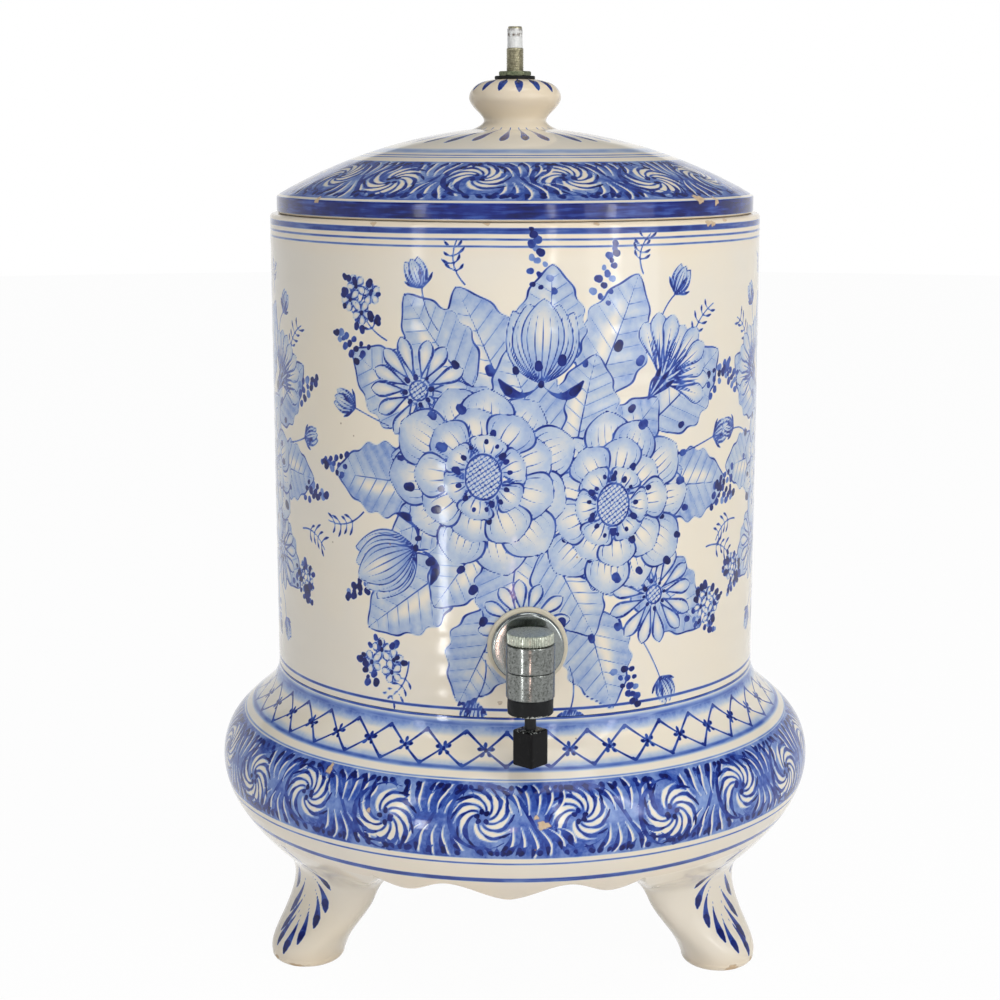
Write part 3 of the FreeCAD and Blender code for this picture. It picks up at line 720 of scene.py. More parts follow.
class Wiring:
    """Places nodes in one tree and joins them."""

    def __init__(self, tree):
        self.tree = tree

    def node(self, kind, inputs=(), **settings):
        """A node with its settings and its inputs fed."""
        made = self.tree.nodes.new(kind)
        for key, value in settings.items():
            setattr(made, key, value)
        for key, value in dict(inputs).items():
            self.feed(made.inputs[key], value)
        return made

    def feed(self, socket, value):
        """Joins another node's output to a socket, or sets it to a plain value."""
        if isinstance(value, bpy.types.NodeSocket):
            self.tree.links.new(value, socket)
        else:
            socket.default_value = value

    def math(self, operation, a, b=0.0):
        """One step of arithmetic on two values."""
        made = self.node("ShaderNodeMath", operation=operation)
        self.feed(made.inputs[0], a)
        self.feed(made.inputs[1], b)
        return made.outputs[0]

    def step(self, value, low, high, to_low=0.0, to_high=1.0):
        """A soft step from to_low to to_high."""
        made = self.node("ShaderNodeMapRange", interpolation_type="SMOOTHSTEP")
        for k, v in enumerate((value, low, high, to_low, to_high)):
            self.feed(made.inputs[k], v)
        return made.outputs[0]

    def mix(self, share, a, b, kind="MIX"):
        """Colour a turned towards colour b by a share."""
        made = self.node("ShaderNodeMix", data_type="RGBA", blend_type=kind)
        for k, v in ((0, share), (6, a), (7, b)):
            self.feed(made.inputs[k], v)
        return made.outputs[2]

    def noise(self, place, scale, detail=2.0, roughness=0.5):
        """Cloudy noise from 0 to 1. The scale counts its cells in a metre."""
        made = self.node("ShaderNodeTexNoise")
        for k, v in (("Vector", place), ("Scale", scale), ("Detail", detail), ("Roughness", roughness)):
            self.feed(made.inputs[k], v)
        return made.outputs[0]

    def stretched(self, place, x, y, z):
        """The place scaled by a different amount along each axis."""
        made = self.node("ShaderNodeMapping")
        self.feed(made.inputs["Vector"], place)
        made.inputs["Scale"].default_value = (x, y, z)
        return made.outputs[0]

    def place(self):
        """The place in the piece, in metres."""
        return self.node("ShaderNodeTexCoord").outputs["Object"]

    def layer(self, name):
        """A layer that the piece holds under this name."""
        return self.node("ShaderNodeAttribute", attribute_name=name).outputs["Fac"]

    def height_mm(self, place):
        """The height over the floor, in millimetres."""
        return self.math("MULTIPLY", self.node("ShaderNodeSeparateXYZ", {0: place}).outputs[2], 1000.0)

    def bump(self, shader, height, strength, distance):
        """Joins a height to the shader's normal."""
        bumps = self.node("ShaderNodeBump", {"Height": height})
        bumps.inputs["Strength"].default_value = strength
        bumps.inputs["Distance"].default_value = distance
        self.feed(shader.inputs["Normal"], bumps.outputs[0])


def new_group(name, takes, gives):
    """An empty node group with named sockets."""
    group = bpy.data.node_groups.new(name, "ShaderNodeTree")
    for label, kind, value in takes:
        socket = group.interface.new_socket(label, in_out="INPUT", socket_type=kind)
        if value is not None:
            socket.default_value = value
    for label, kind in gives:
        group.interface.new_socket(label, in_out="OUTPUT", socket_type=kind)
    wires = Wiring(group)
    return group, wires, wires.node("NodeGroupInput"), wires.node("NodeGroupOutput")


# From bare glaze to the darkest blue
COBALT = [
    (0.0, (0.84, 0.775, 0.655)), (0.16, (0.47, 0.56, 0.70)), (0.36, (0.20, 0.31, 0.62)),
    (0.6, (0.042, 0.10, 0.42)), (0.82, (0.008, 0.022, 0.22)), (1.0, (0.004, 0.006, 0.075)),
]


def make_brushwork_group():
    """Cobalt under a white glaze. The layers are sharpened and set to their strengths, streaked by
    noise, and the strongest is read off a scale from bare glaze to the darkest blue."""
    number = "NodeSocketFloat"
    takes = [("Place", "NodeSocketVector", None)]
    takes += [(name, number, 0.0) for name in ("Wash", "Light", "Mid", "Dark", "Line")]
    gives = [("Color", "NodeSocketColor"), ("Paint", number)]
    group, w, given, out = new_group("brushwork", takes, gives)
    place = given.outputs["Place"]
    cloud = w.noise(place, 70.0, 3.0)
    fine = w.noise(place, 420.0, 2.0)
    pool = w.noise(place, 160.0, 2.0)
    wash = w.math("MULTIPLY", given.outputs["Wash"], w.step(cloud, 0.3, 0.7, 0.34, 0.58))
    wash = w.math("MULTIPLY", wash, w.step(fine, 0.3, 0.7, 0.88, 1.1))
    light = w.math("MULTIPLY", w.step(given.outputs["Light"], 0.4, 0.64), w.step(pool, 0.3, 0.7, 0.38, 0.54))
    mid = w.math("MULTIPLY", w.step(given.outputs["Mid"], 0.39, 0.64), w.step(pool, 0.28, 0.72, 0.6, 0.86))
    dark = w.math("MULTIPLY", w.step(given.outputs["Dark"], 0.4, 0.64), w.step(pool, 0.3, 0.7, 0.84, 1.0))
    line = w.math("MULTIPLY", given.outputs["Line"], w.step(cloud, 0.3, 0.7, 0.66, 0.82))
    strong = w.math("MAXIMUM", mid, w.math("MAXIMUM", dark, line))
    paint = w.math("MAXIMUM", w.math("MAXIMUM", wash, light), strong)
    scale = w.node("ShaderNodeValToRGB")
    w.feed(scale.inputs[0], paint)
    scale.color_ramp.elements[0].color = (*COBALT[0][1], 1.0)
    scale.color_ramp.elements[1].color = (*COBALT[-1][1], 1.0)
    for at, colour in COBALT[1:-1]:
        scale.color_ramp.elements.new(at).color = (*colour, 1.0)
    w.feed(out.inputs["Color"], scale.outputs[0])
    w.feed(out.inputs["Paint"], paint)
    return group


def make_glaze_skin_group():
    """A glaze's surface: warm and cool clouds in its white, specks of iron, bare tan clay where
    it is chipped, a dark brown rim round bare clay that on the lid's lowest edge is painted shade, and the height of
    its ripples."""
    number, colour = "NodeSocketFloat", "NodeSocketColor"
    takes = [("Place", "NodeSocketVector", None), ("Color", colour, None)]
    takes += [("Bare", number, 0.0), ("Warm", number, 0.0)]
    gives = [("Color", colour), ("Roughness", number), ("Height", number)]
    group, w, given, out = new_group("glaze_skin", takes, gives)
    place = given.outputs["Place"]
    cloud = w.noise(place, 14.0, 3.0)
    tint = w.mix(w.step(cloud, 0.35, 0.68), (1.0, 0.985, 0.955, 1.0), (0.965, 0.975, 1.0, 1.0))
    shade = w.mix(1.0, given.outputs["Color"], tint, "MULTIPLY")
    shade = w.mix(given.outputs["Warm"], shade, w.mix(1.0, shade, (1.0, 0.9, 0.78, 1.0), "MULTIPLY"))
    cells = w.node("ShaderNodeTexVoronoi", {"Vector": place, "Scale": 62.0})
    grain = w.noise(place, 500.0, 1.0)
    near_iron = w.step(cells.outputs["Distance"], 0.045, 0.025)
    speck = w.math("MULTIPLY", near_iron, w.step(w.noise(place, 30.0, 0.0), 0.58, 0.64))
    shade = w.mix(w.math("MULTIPLY", speck, 0.7), shade, (0.24, 0.15, 0.09, 1.0))
    clay = w.mix(grain, (0.50, 0.35, 0.21, 1.0), (0.70, 0.55, 0.38, 1.0))
    bare = w.step(given.outputs["Bare"], 0.42, 0.6)
    # A dark brown rim round bare clay. On the lid's lowest edge, between the bare patches, this rim is painted shade
    # of the gap over the pot's rim.
    ring = w.math("MULTIPLY", w.step(given.outputs["Bare"], 0.28, 0.42), w.math("SUBTRACT", 1.0, bare))
    shade = w.mix(w.math("MULTIPLY", ring, 0.55), shade, (0.30, 0.20, 0.12, 1.0))
    w.feed(out.inputs["Color"], w.mix(bare, shade, clay))
    gloss = w.step(w.noise(place, 45.0, 2.0), 0.3, 0.7, 0.07, 0.13)
    w.feed(out.inputs["Roughness"], w.math("ADD", gloss, w.math("MULTIPLY", bare, 0.7)))
    ripple = w.math("MULTIPLY", w.noise(w.stretched(place, 1.0, 1.0, 2.2), 36.0, 1.0), 0.75)
    peel = w.math("MULTIPLY", w.noise(place, 230.0, 1.0), 0.09)
    gritty = w.math("MULTIPLY", w.math("MULTIPLY", grain, bare), 0.5)
    w.feed(out.inputs["Height"], w.math("ADD", w.math("ADD", ripple, peel), gritty))
    return group


def new_material(name):
    """A material with its wiring and its shader."""
    material = bpy.data.materials.new(name)
    material.use_nodes = True
    w = Wiring(material.node_tree)
    shader = material.node_tree.nodes["Principled BSDF"]
    return material, w, shader


brushwork = make_brushwork_group()
glaze_skin = make_glaze_skin_group()


def ring_lines(w, place, lines, outside, wander):
    """Lines that a loaded brush leaves on a turning pot: at each height a band of the given
    half-width whose edges wander a little, and that runs thin now and then."""
    height = w.height_mm(place)
    sway = w.math("MULTIPLY", w.math("SUBTRACT", w.noise(w.stretched(place, 9.0, 9.0, 0.0), 1.0, 2.0), 0.5), wander)
    height = w.math("ADD", height, sway)
    worn = w.noise(w.stretched(place, 60.0, 60.0, 500.0), 1.0, 2.0)
    total = 0.0
    for z, half, strength, soft in lines:
        off = w.math("ABSOLUTE", w.math("SUBTRACT", height, z))
        thin = w.step(worn, 0.25, 0.6, 0.72 * strength, strength)
        mask = w.math("MULTIPLY", w.step(off, half + soft, half - soft), thin)
        total = w.math("MAXIMUM", mask, total)
    return w.math("MULTIPLY", total, outside)


def painted_glaze(name, lines=(), wander=1.3):
    """Glossy white glaze with cobalt brushwork read from the piece's layers, and ring lines by height."""
    material, w, shader = new_material(name)
    place = w.place()
    line = ring_lines(w, place, lines, w.layer("outside"), wander) if lines else 0.0
    paint = w.node("ShaderNodeGroup", node_tree=brushwork)
    w.feed(paint.inputs["Place"], place)
    for label in ("Wash", "Light", "Mid", "Dark"):
        w.feed(paint.inputs[label], w.layer(label.lower()))
    w.feed(paint.inputs["Line"], line)
    skin = w.node("ShaderNodeGroup", node_tree=glaze_skin)
    given = {"Place": place, "Color": paint.outputs["Color"], "Bare": w.layer("bare"), "Warm": w.layer("warm")}
    for label, value in given.items():
        w.feed(skin.inputs[label], value)
    w.feed(shader.inputs["Base Color"], skin.outputs["Color"])
    w.feed(shader.inputs["Roughness"], skin.outputs["Roughness"])
    shader.inputs["IOR"].default_value = 1.52
    shader.inputs["Specular IOR Level"].default_value = 0.28
    w.bump(shader, skin.outputs["Height"], 0.45, 0.0006)
    return material


def metal(name, colour, tarnish, roughness, spots):
    """A plated or bare metal: its colour clouded by tarnish, pits and water spots that dull it, and
    fine scratches that run level."""
    material, w, shader = new_material(name)
    place = w.place()
    cloud = w.step(w.noise(place, 700.0, 6.0, 0.75), 0.36, 0.7)
    pits = w.step(w.noise(place, 2400.0, 2.0, 0.6), 0.6, 0.74)
    lines = w.noise(w.stretched(place, 420.0, 420.0, 5880.0), 1.0, 2.0)
    dull = w.math("MULTIPLY", w.math("MAXIMUM", cloud, pits), spots)
    w.feed(shader.inputs["Base Color"], w.mix(dull, (*colour, 1.0), (*tarnish, 1.0)))
    rough = w.math("ADD", w.math("MULTIPLY", dull, 0.3), w.step(lines, 0.3, 0.7, roughness, roughness + 0.1))
    w.feed(shader.inputs["Roughness"], rough)
    shader.inputs["Metallic"].default_value = 1.0
    w.bump(shader, w.math("ADD", w.math("MULTIPLY", lines, 0.2), w.math("MULTIPLY", pits, -0.5)), 0.1, 0.0001)
    return material


def polymer(name, colour, pale, roughness, grain=900.0, bump=0.3, scale=None):
    """Rubber or plastic: a fine grain, dust that shows pale in patches, and lime scale where the
    piece's layer says so."""
    material, w, shader = new_material(name)
    place = w.place()
    dusty = w.step(w.noise(place, 260.0, 5.0, 0.7), 0.54, 0.8, 0.0, 0.5)
    shade = w.mix(dusty, (*colour, 1.0), (*pale, 1.0))
    rough = w.math("ADD", roughness, w.math("MULTIPLY", dusty, 0.2))
    height = w.noise(place, grain, 2.0)
    if scale is not None:
        crust = w.noise(place, 850.0, 4.0, 0.7)
        ragged = w.math("MULTIPLY", w.math("SUBTRACT", crust, 0.5), 1.5)
        lime = w.step(w.math("ADD", w.layer("scale"), ragged), 0.52, 0.66)
        shade = w.mix(lime, shade, (*scale, 1.0))
        rough = w.math("ADD", rough, w.math("MULTIPLY", lime, 0.4))
        height = w.math("ADD", height, w.math("MULTIPLY", lime, 0.8))
    w.feed(shader.inputs["Base Color"], shade)
    w.feed(shader.inputs["Roughness"], rough)
    shader.inputs["Specular IOR Level"].default_value = 0.12
    w.bump(shader, height, bump, 0.0002)
    return material


def stained_tape(name):
    """White sealing tape in thin turns, with rusty brown bands where water has dried."""
    material, w, shader = new_material(name)
    place = w.place()
    height = w.height_mm(place)
    ragged = w.noise(w.stretched(place, 500.0, 500.0, 260.0), 1.0, 3.0, 0.6)
    off = w.math("ABSOLUTE", w.math("SUBTRACT", height, 524.2))
    band = w.math("MULTIPLY", w.step(off, 1.5, 0.3), w.step(ragged, 0.46, 0.62))
    top = w.math("MULTIPLY", w.step(height, 525.4, 527.4), w.step(ragged, 0.4, 0.6, 0.1, 0.8))
    shade = w.mix(w.step(ragged, 0.3, 0.8), (0.86, 0.87, 0.86, 1.0), (0.70, 0.71, 0.70, 1.0))
    shade = w.mix(w.math("MAXIMUM", band, top), shade, (0.13, 0.09, 0.06, 1.0))
    w.feed(shader.inputs["Base Color"], shade)
    w.feed(shader.inputs["Roughness"], w.step(ragged, 0.2, 0.8, 0.35, 0.6))
    turns = w.math("SINE", w.math("MULTIPLY", height, 5.2))
    w.bump(shader, w.math("ADD", turns, ragged), 0.35, 0.0001)
    return material


# Painted lines, from the top down: the height, the half-width, the strength and the soft edge
LIP_LINE = (83.2, 1.35, 0.95, 0.35)
WALL_LINES = [(420.8, 1.5, 1.0, 0.35), (416.5, 0.55, 0.8, 0.3), (412.9, 0.5, 0.75, 0.3), (168.5, 0.75, 0.95, 0.3)]
BASE_LINES = [
    (163.7, 0.6, 0.95, 0.3), (160.3, 1.6, 0.72, 1.6), (140.7, 0.9, 0.78, 0.8), (136.3, 0.3, 0.6, 0.3),
    (94.2, 0.5, 0.8, 0.3), LIP_LINE,
]
LID_LINES = [
    (430.6, 4.1, 1.2, 0.3), (436.1, 0.2, 0.9, 0.2), (457.0, 0.18, 0.8, 0.2), (458.1, 0.2, 0.9, 0.2),
    (460.2, 0.95, 0.42, 0.6),
]

wall_glaze = painted_glaze("wall_glaze", WALL_LINES)
base_glaze = painted_glaze("base_glaze", BASE_LINES)
lid_glaze = painted_glaze("lid_glaze", LID_LINES, 0.35)
leg_glaze = painted_glaze("leg_glaze", [LIP_LINE])
chrome = metal("chrome_plate", (0.26, 0.272, 0.262), (0.045, 0.05, 0.043), 0.05, 0.9)
mirror_chrome = metal("mirror_chrome", (0.27, 0.29, 0.285), (0.12, 0.13, 0.12), 0.035, 0.45)
satin_chrome = metal("satin_chrome", (0.50, 0.53, 0.455), (0.17, 0.185, 0.15), 0.22, 0.85)
dark_stem = polymer("dark_stem", (0.02, 0.021, 0.022), (0.08, 0.08, 0.075), 0.35)
dull_brass = metal("dull_brass", (0.46, 0.43, 0.30), (0.17, 0.16, 0.11), 0.28, 0.9)
green_brass = metal("green_brass", (0.20, 0.21, 0.13), (0.07, 0.10, 0.06), 0.36, 0.9)
black_rubber = polymer("black_rubber", (0.012, 0.013, 0.013), (0.05, 0.05, 0.045), 0.55)
cream_rubber = polymer("cream_rubber", (0.64, 0.59, 0.47), (0.50, 0.44, 0.33), 0.5, 600.0, 0.25)
black_plastic = polymer(
    "black_plastic", (0.0035, 0.0035, 0.004), (0.03, 0.03, 0.03), 0.2, 500.0, 0.15, (0.36, 0.38, 0.36))
rough_plastic = polymer(
    "rough_plastic", (0.010, 0.011, 0.012), (0.05, 0.05, 0.05), 0.42, 900.0, 0.8, (0.45, 0.48, 0.45))
spring_steel = metal("spring_steel", (0.58, 0.58, 0.57), (0.4, 0.4, 0.38), 0.18, 0.3)
tape_white = stained_tape("tape_white")


# Wall: dense where it is painted, in five pieces round

rng = np.random.default_rng(8)
WALL_COLUMNS, WALL_PIECES = 1220, 5
painted_z = np.linspace(177.0, 411.0, 326)
outer_z = np.concatenate([np.linspace(WALL_LOW, 176.0, 9), painted_z, np.linspace(412.0, 423.0, 12)])
wall = Glaze(TURN * WALL_R, WALL_COLUMNS, outer_z)

front_x, side_x = 7.0, 0.262 * wall.length
bouquet(wall, front_x, 287.0, rng, 1.0, 1.16)
bouquet(wall, side_x, 292.0, rng, -1.0, 0.98)
bouquet(wall, wall.length - side_x - 3.0, 288.0, rng, 1.0, 0.98)
bouquet(wall, 0.5 * wall.length, 288.0, rng, -1.0, 1.12)

corner = np.linspace(0.0, 0.5 * math.pi, 6)
profile_r = np.concatenate([
    np.full(len(outer_z), WALL_R), WALL_R - RIM_ROUND + RIM_ROUND * np.cos(corner[1:]),
    WALL_IN_R + RIM_ROUND - RIM_ROUND * np.sin(corner), np.full(24, WALL_IN_R)])
profile_z = np.concatenate([
    outer_z, WALL_TOP - RIM_ROUND + RIM_ROUND * np.sin(corner[1:]),
    WALL_TOP - RIM_ROUND + RIM_ROUND * np.cos(corner), np.linspace(418.0, WALL_LOW, 24)])
around = once_round(WALL_COLUMNS)
wave_z = profile_z[:, None]
thrown = 0.16 * np.sin(2 * around + 0.6 + 0.012 * wave_z) + 0.08 * np.sin(5 * around - 0.02 * wave_z)
below_rim, above_join = np.clip((421.0 - wave_z) / 14.0, 0.0, 1.0), np.clip((wave_z - WALL_LOW) / 8.0, 0.0, 1.0)
thrown = (thrown + 0.05 * np.sin(wave_z * TURN / 13.0 + around)) * below_rim * above_join
wall_r = profile_r[:, None] + thrown
wall_points = on_pot(wall_r, profile_z[:, None], around)


# Chips in the glaze: the place round and up, half the width and height, and a number that shapes the rim.
# On the wall the place up runs on over the rim, past its top.
WALL_CHIPS = [
    (109.0, 424.0, 3.0, 2.2, 1.0), (112.5, 422.5, 1.6, 1.4, 2.0), (124.0, 425.5, 1.8, 2.0, 3.0),
    (36.0, 427.0, 1.3, 2.2, 4.0), (-21.0, 427.5, 1.6, 2.0, 5.0), (-84.0, 425.0, 1.5, 2.0, 6.0),
    (-14.5, 172.6, 1.0, 0.7, 7.0), (260.0, 425.0, 2.6, 2.0, 8.0), (-330.0, 425.4, 2.0, 2.4, 9.0),
]
BASE_CHIPS = [
    (6.5, 116.0, 3.0, 2.0, 1.5), (3.0, 120.0, 1.2, 1.0, 2.5), (-118.0, 133.0, 1.6, 2.2, 3.5),
    (-86.0, 118.0, 1.0, 1.2, 4.5), (150.0, 69.0, 2.0, 2.0, 5.5), (-330.0, 122.0, 2.2, 1.6, 6.5),
]
BAND_CHIPS = [
    (104.0, 435.5, 3.4, 2.0, 1.0), (118.0, 434.0, 1.6, 2.2, 2.0), (-128.0, 434.6, 1.8, 1.6, 3.0),
    (300.0, 434.0, 2.0, 2.4, 4.0),
]


def chips(u, v, spots):
    """Where the glaze is broken away: each spot is an oval with a ragged rim."""
    depth = np.full(np.broadcast(u, v).shape, -9.0)
    for x, y, rx, ry, seed in spots:
        a, b = (u - x) / rx, (v - y) / ry
        w = np.arctan2(b, a)
        ragged = 1.0 + 0.22 * np.sin(3 * w + seed) + 0.14 * np.sin(7 * w + 2.1 * seed)
        depth = np.maximum(depth, (ragged - np.hypot(a, b)) * min(rx, ry))
    return level(depth) * (depth > -SOFT)


def around_u(columns, length):
    """The place round the pot of each column, from minus to plus half the way round."""
    u = np.arange(columns) * length / columns
    return (u + 0.5 * length) % length - 0.5 * length


n_outer = len(outer_z)
wall_u = around_u(WALL_COLUMNS, wall.length)[None, :]
rows_total = len(profile_r)
row_run = np.concatenate([outer_z, WALL_TOP + np.arange(rows_total - n_outer)])[:, None]
wall_bare = chips(wall_u, np.minimum(row_run, 440.0), WALL_CHIPS)
wall_bare[n_outer + 11:] = 0.0
wall_share = np.concatenate([np.linspace(0.0, 0.88, n_outer), np.linspace(0.885, 0.985, rows_total - n_outer)])
outside = np.zeros((rows_total, WALL_COLUMNS), np.float32)
outside[:n_outer] = 1.0
warm = np.broadcast_to(np.clip((profile_z[:, None] - 405.0) / 30.0, 0.0, 0.5), outside.shape).copy()
warm[n_outer:] = 0.55


def sectors(name, points, pieces, shift, share, material, layers, nodes):
    """Cuts a closed ring of columns into pieces with the same columns on both sides of a cut.
    Each piece is closed by an end face at both of its cuts."""
    rows, columns = points.shape[:2]
    width = columns // pieces
    for k in range(pieces):
        cut = (shift + k * width + np.arange(width + 1)) % columns
        part = points[:, cut].reshape(-1, 3)
        quads = quads_of(rows, width + 1, True, False)
        first = np.arange(rows) * (width + 1)
        piece = place_mesh(f"{name}_{k + 1}", part, quads, (first, (first + width)[::-1]), 50.0)
        lay_out(piece, rows, width + 1, True, False, share)
        hold(piece, **{key: values[:, cut] for key, values in layers.items()})
        dress(piece, material, "pot", nodes)


sectors("wall", wall_points, WALL_PIECES, -WALL_COLUMNS // 10, wall_share, wall_glaze,
        {**wall.on_rows(rows_total, 0), "bare": wall_bare, "warm": warm, "outside": outside}, ("vessel_body",))

plain_glaze = painted_glaze("plain_glaze")
floor_in = WALL_IN_R - 0.05
floor_low = WALL_LOW + 0.05
floor_rows = np.concatenate([
    [(20.0, floor_low)], rows_between((floor_in, floor_low), (floor_in, FLOOR_TOP), 3),
    [(floor_in, FLOOR_TOP), (20.0, FLOOR_TOP)]])
pot_floor = turned("pot_floor", floor_rows, 160, ends=True)
hold(pot_floor, warm=np.full(len(pot_floor.data.vertices), 0.6))
dress(pot_floor, plain_glaze, "pot", ("vessel_body",))


# Base ring: one outline from the lip up over the belly, in three pieces round

BASE_COLUMNS, BASE_PIECES = 1560, 3
outer_line = curve_through(BELLY, 1200, (0.0, -1.0), (-math.cos(LIP_SLOPE), -math.sin(LIP_SLOPE)))
outer_line[:, 0] = np.minimum(outer_line[:, 0], BELLY[4][0])
slope = np.gradient(outer_line, axis=0)
slope = slope / np.hypot(*slope.T)[:, None]
inner_line = outer_line + RING_WALL * np.stack([slope[:, 1], -slope[:, 0]], 1)


def radius_at(line, z):
    """The radius of a falling outline at each height."""
    return np.interp(z, line[::-1, 1], line[::-1, 0])


bay_angles = np.array([-27.0, -20.0, -12.5, 0.0, 12.5, 20.0, 27.0])
bay_heights = LIP_Z + np.array([7.5, 2.2, 9.5, -0.6, 9.5, 2.2, 7.5])


def lip_height(angle):
    """The height of the lip: level under each leg, and a row of small arches in each bay, as a
    smooth curve of the distance off the bay's middle."""
    off = (np.degrees(angle) - LEG_TURN + 60.0) % 120.0 - 60.0
    arch = smooth_line(bay_angles, bay_heights, np.clip(off, bay_angles[0], bay_angles[-1]))
    return LIP_Z + (arch - LIP_Z) * eased(np.clip((30.0 - np.abs(off)) / 3.0, 0.0, 1.0))


base_around = once_round(BASE_COLUMNS)
lip_z = lip_height(base_around)[None, :]
# The lip's rounding, where its rows come level, and the stretch with dense rows for the painting
ROUNDED, LINE_Z, DENSE_Z, DENSE_TOP = 3.0, 82.0, 92.0, 161.0
fraction = np.linspace(0.0, 1.0, 14)[:, None]
apron_z = (lip_z + ROUNDED) * (1.0 - fraction) + LINE_Z * fraction
run = run_along(outer_line[::-1])


def run_of(z):
    """The distance run up the belly from its lip to a height."""
    return float(np.interp(z, outer_line[::-1, 1], run))


belly_run = np.arange(run_of(DENSE_Z), run_of(DENSE_TOP), 0.7)
belly_z = np.interp(belly_run, run, outer_line[::-1, 1])
upper_z = np.concatenate([np.linspace(84.0, 90.0, 4), belly_z, [162.6, WALL_LOW - 0.4]])[:, None] + 0.0 * lip_z
outer_rows_z = np.concatenate([apron_z, upper_z])
outer_rows_r = radius_at(outer_line, outer_rows_z)
fraction = np.linspace(0.0, 1.0, 18)[:, None]
inner_rows_z = (WALL_LOW - 0.4) * (1.0 - fraction) + (lip_z + ROUNDED) * fraction
inner_rows_r = radius_at(inner_line, inner_rows_z)
edge_out = np.stack([radius_at(outer_line, lip_z), lip_z])
edge_in = np.stack([radius_at(inner_line, lip_z), lip_z])
edge_mid = 0.5 * (edge_out + edge_in)
start = np.stack([inner_rows_r[-1:], inner_rows_z[-1:]])
finish = np.stack([outer_rows_r[:1], outer_rows_z[:1]])
t = np.linspace(0.0, 1.0, 6)[1:, None]
fall = start * (1 - t) ** 2 + 2 * edge_in * t * (1 - t) + edge_mid * t ** 2
rise = edge_mid * (1 - t[:-1]) ** 2 + 2 * edge_out * t[:-1] * (1 - t[:-1]) + finish * t[:-1] ** 2
base_r = np.concatenate([outer_rows_r, inner_rows_r, fall[0], rise[0]])
base_z = np.concatenate([outer_rows_z, inner_rows_z, fall[1], rise[1]])
n_outer_base = len(outer_rows_z)
wobble = 0.12 * np.sin(3 * base_around + 0.05 * base_z) * np.clip((150.0 - base_z) / 20.0, 0.0, 1.0)
wobble = wobble * np.clip((172.0 - base_r) / 4.0, 0.0, 1.0)
base_points = on_pot(base_r + wobble, base_z, base_around)

first_dense = len(apron_z) + 4
base = Glaze(TURN * 168.0, BASE_COLUMNS, belly_run)


running_scroll(base, run_of(97.6), run_of(135.4), 21, rng)
lattice(base, run_of(141.4), run_of(157.0), 41, rng)
between = (belly_run > run_of(140.8)) & (belly_run < run_of(160.0))
grade = np.clip(1.9 * np.abs(belly_z[between] - 149.0) / 10.0 - 0.9, 0.0, 1.0)
base.wash[between] = np.maximum(base.wash[between], grade[:, None])

rows_base = len(base_r)
base_outside = np.zeros((rows_base, BASE_COLUMNS), np.float32)
base_outside[:n_outer_base] = 1.0
base_warm = np.broadcast_to(np.clip((90.0 - base_z) / 40.0, 0.0, 0.35), base_z.shape).copy()
base_warm[n_outer_base:] = 0.7
base_u = around_u(BASE_COLUMNS, base.length)[None, :]
base_bare = chips(base_u, base_z, BASE_CHIPS)
base_bare[n_outer_base:] = 0.0
base_share = np.concatenate([
    np.linspace(0.0, 0.86, n_outer_base), np.linspace(0.865, 0.985, rows_base - n_outer_base)])
sectors("base", base_points, BASE_PIECES, -BASE_COLUMNS // 6, base_share, base_glaze,
        {**base.on_rows(rows_base, first_dense), "bare": base_bare, "warm": base_warm, "outside": base_outside},
        ("base_ring",))


# Legs: ovals bent round the pot, whose outer face runs on from the belly

LEG_ROWS, LEG_COLUMNS = 150, 200
leg_heights = [0.0, 4.2, 20.0, 40.0, 57.0, 74.0, 88.0]
leg_z = np.concatenate([np.linspace(0.0, 4.0, 12), np.linspace(4.4, 88.0, LEG_ROWS - 12)])
leg_centre = smooth_line(leg_heights, [136.3, 136.3, 130.2, 122.5, 124.0, 124.3, 124.3], leg_z)
leg_depth = smooth_line(leg_heights, [19.5, 21.0, 19.8, 16.5, 18.5, 31.0, 31.0], leg_z)
leg_width = smooth_line(leg_heights, [19.5, 21.0, 28.5, 40.0, 53.0, 72.0, 72.0], leg_z)
foot = np.sqrt(np.clip(1.0 - (1.0 - np.clip(leg_z / 4.2, 0.0, 1.0)) ** 2, 0.0, 1.0))
leg_depth = np.where(leg_z < 4.2, 17.6 + 3.4 * foot, leg_depth)
leg_width = np.where(leg_z < 4.2, 17.6 + 3.4 * foot, leg_width)


# Feather strokes on each side of a leg's bare spine, from the top down: the height of the root, its
# distance from the spine, its slant from straight down in degrees, its length and its half-width
FEATHERS = [
    (87.0, 6.5, 74.0, 13.0, 1.9), (81.5, 7.5, 66.0, 15.0, 2.3), (75.5, 8.2, 58.0, 17.0, 2.5),
    (69.0, 8.4, 50.0, 18.5, 2.6), (62.0, 8.0, 41.0, 20.0, 2.7), (54.5, 6.8, 31.0, 22.0, 2.8),
    (46.5, 5.2, 21.0, 24.0, 2.8), (38.0, 3.4, 12.0, 26.0, 2.7), (29.0, 1.6, 5.0, 24.0, 2.5),
]


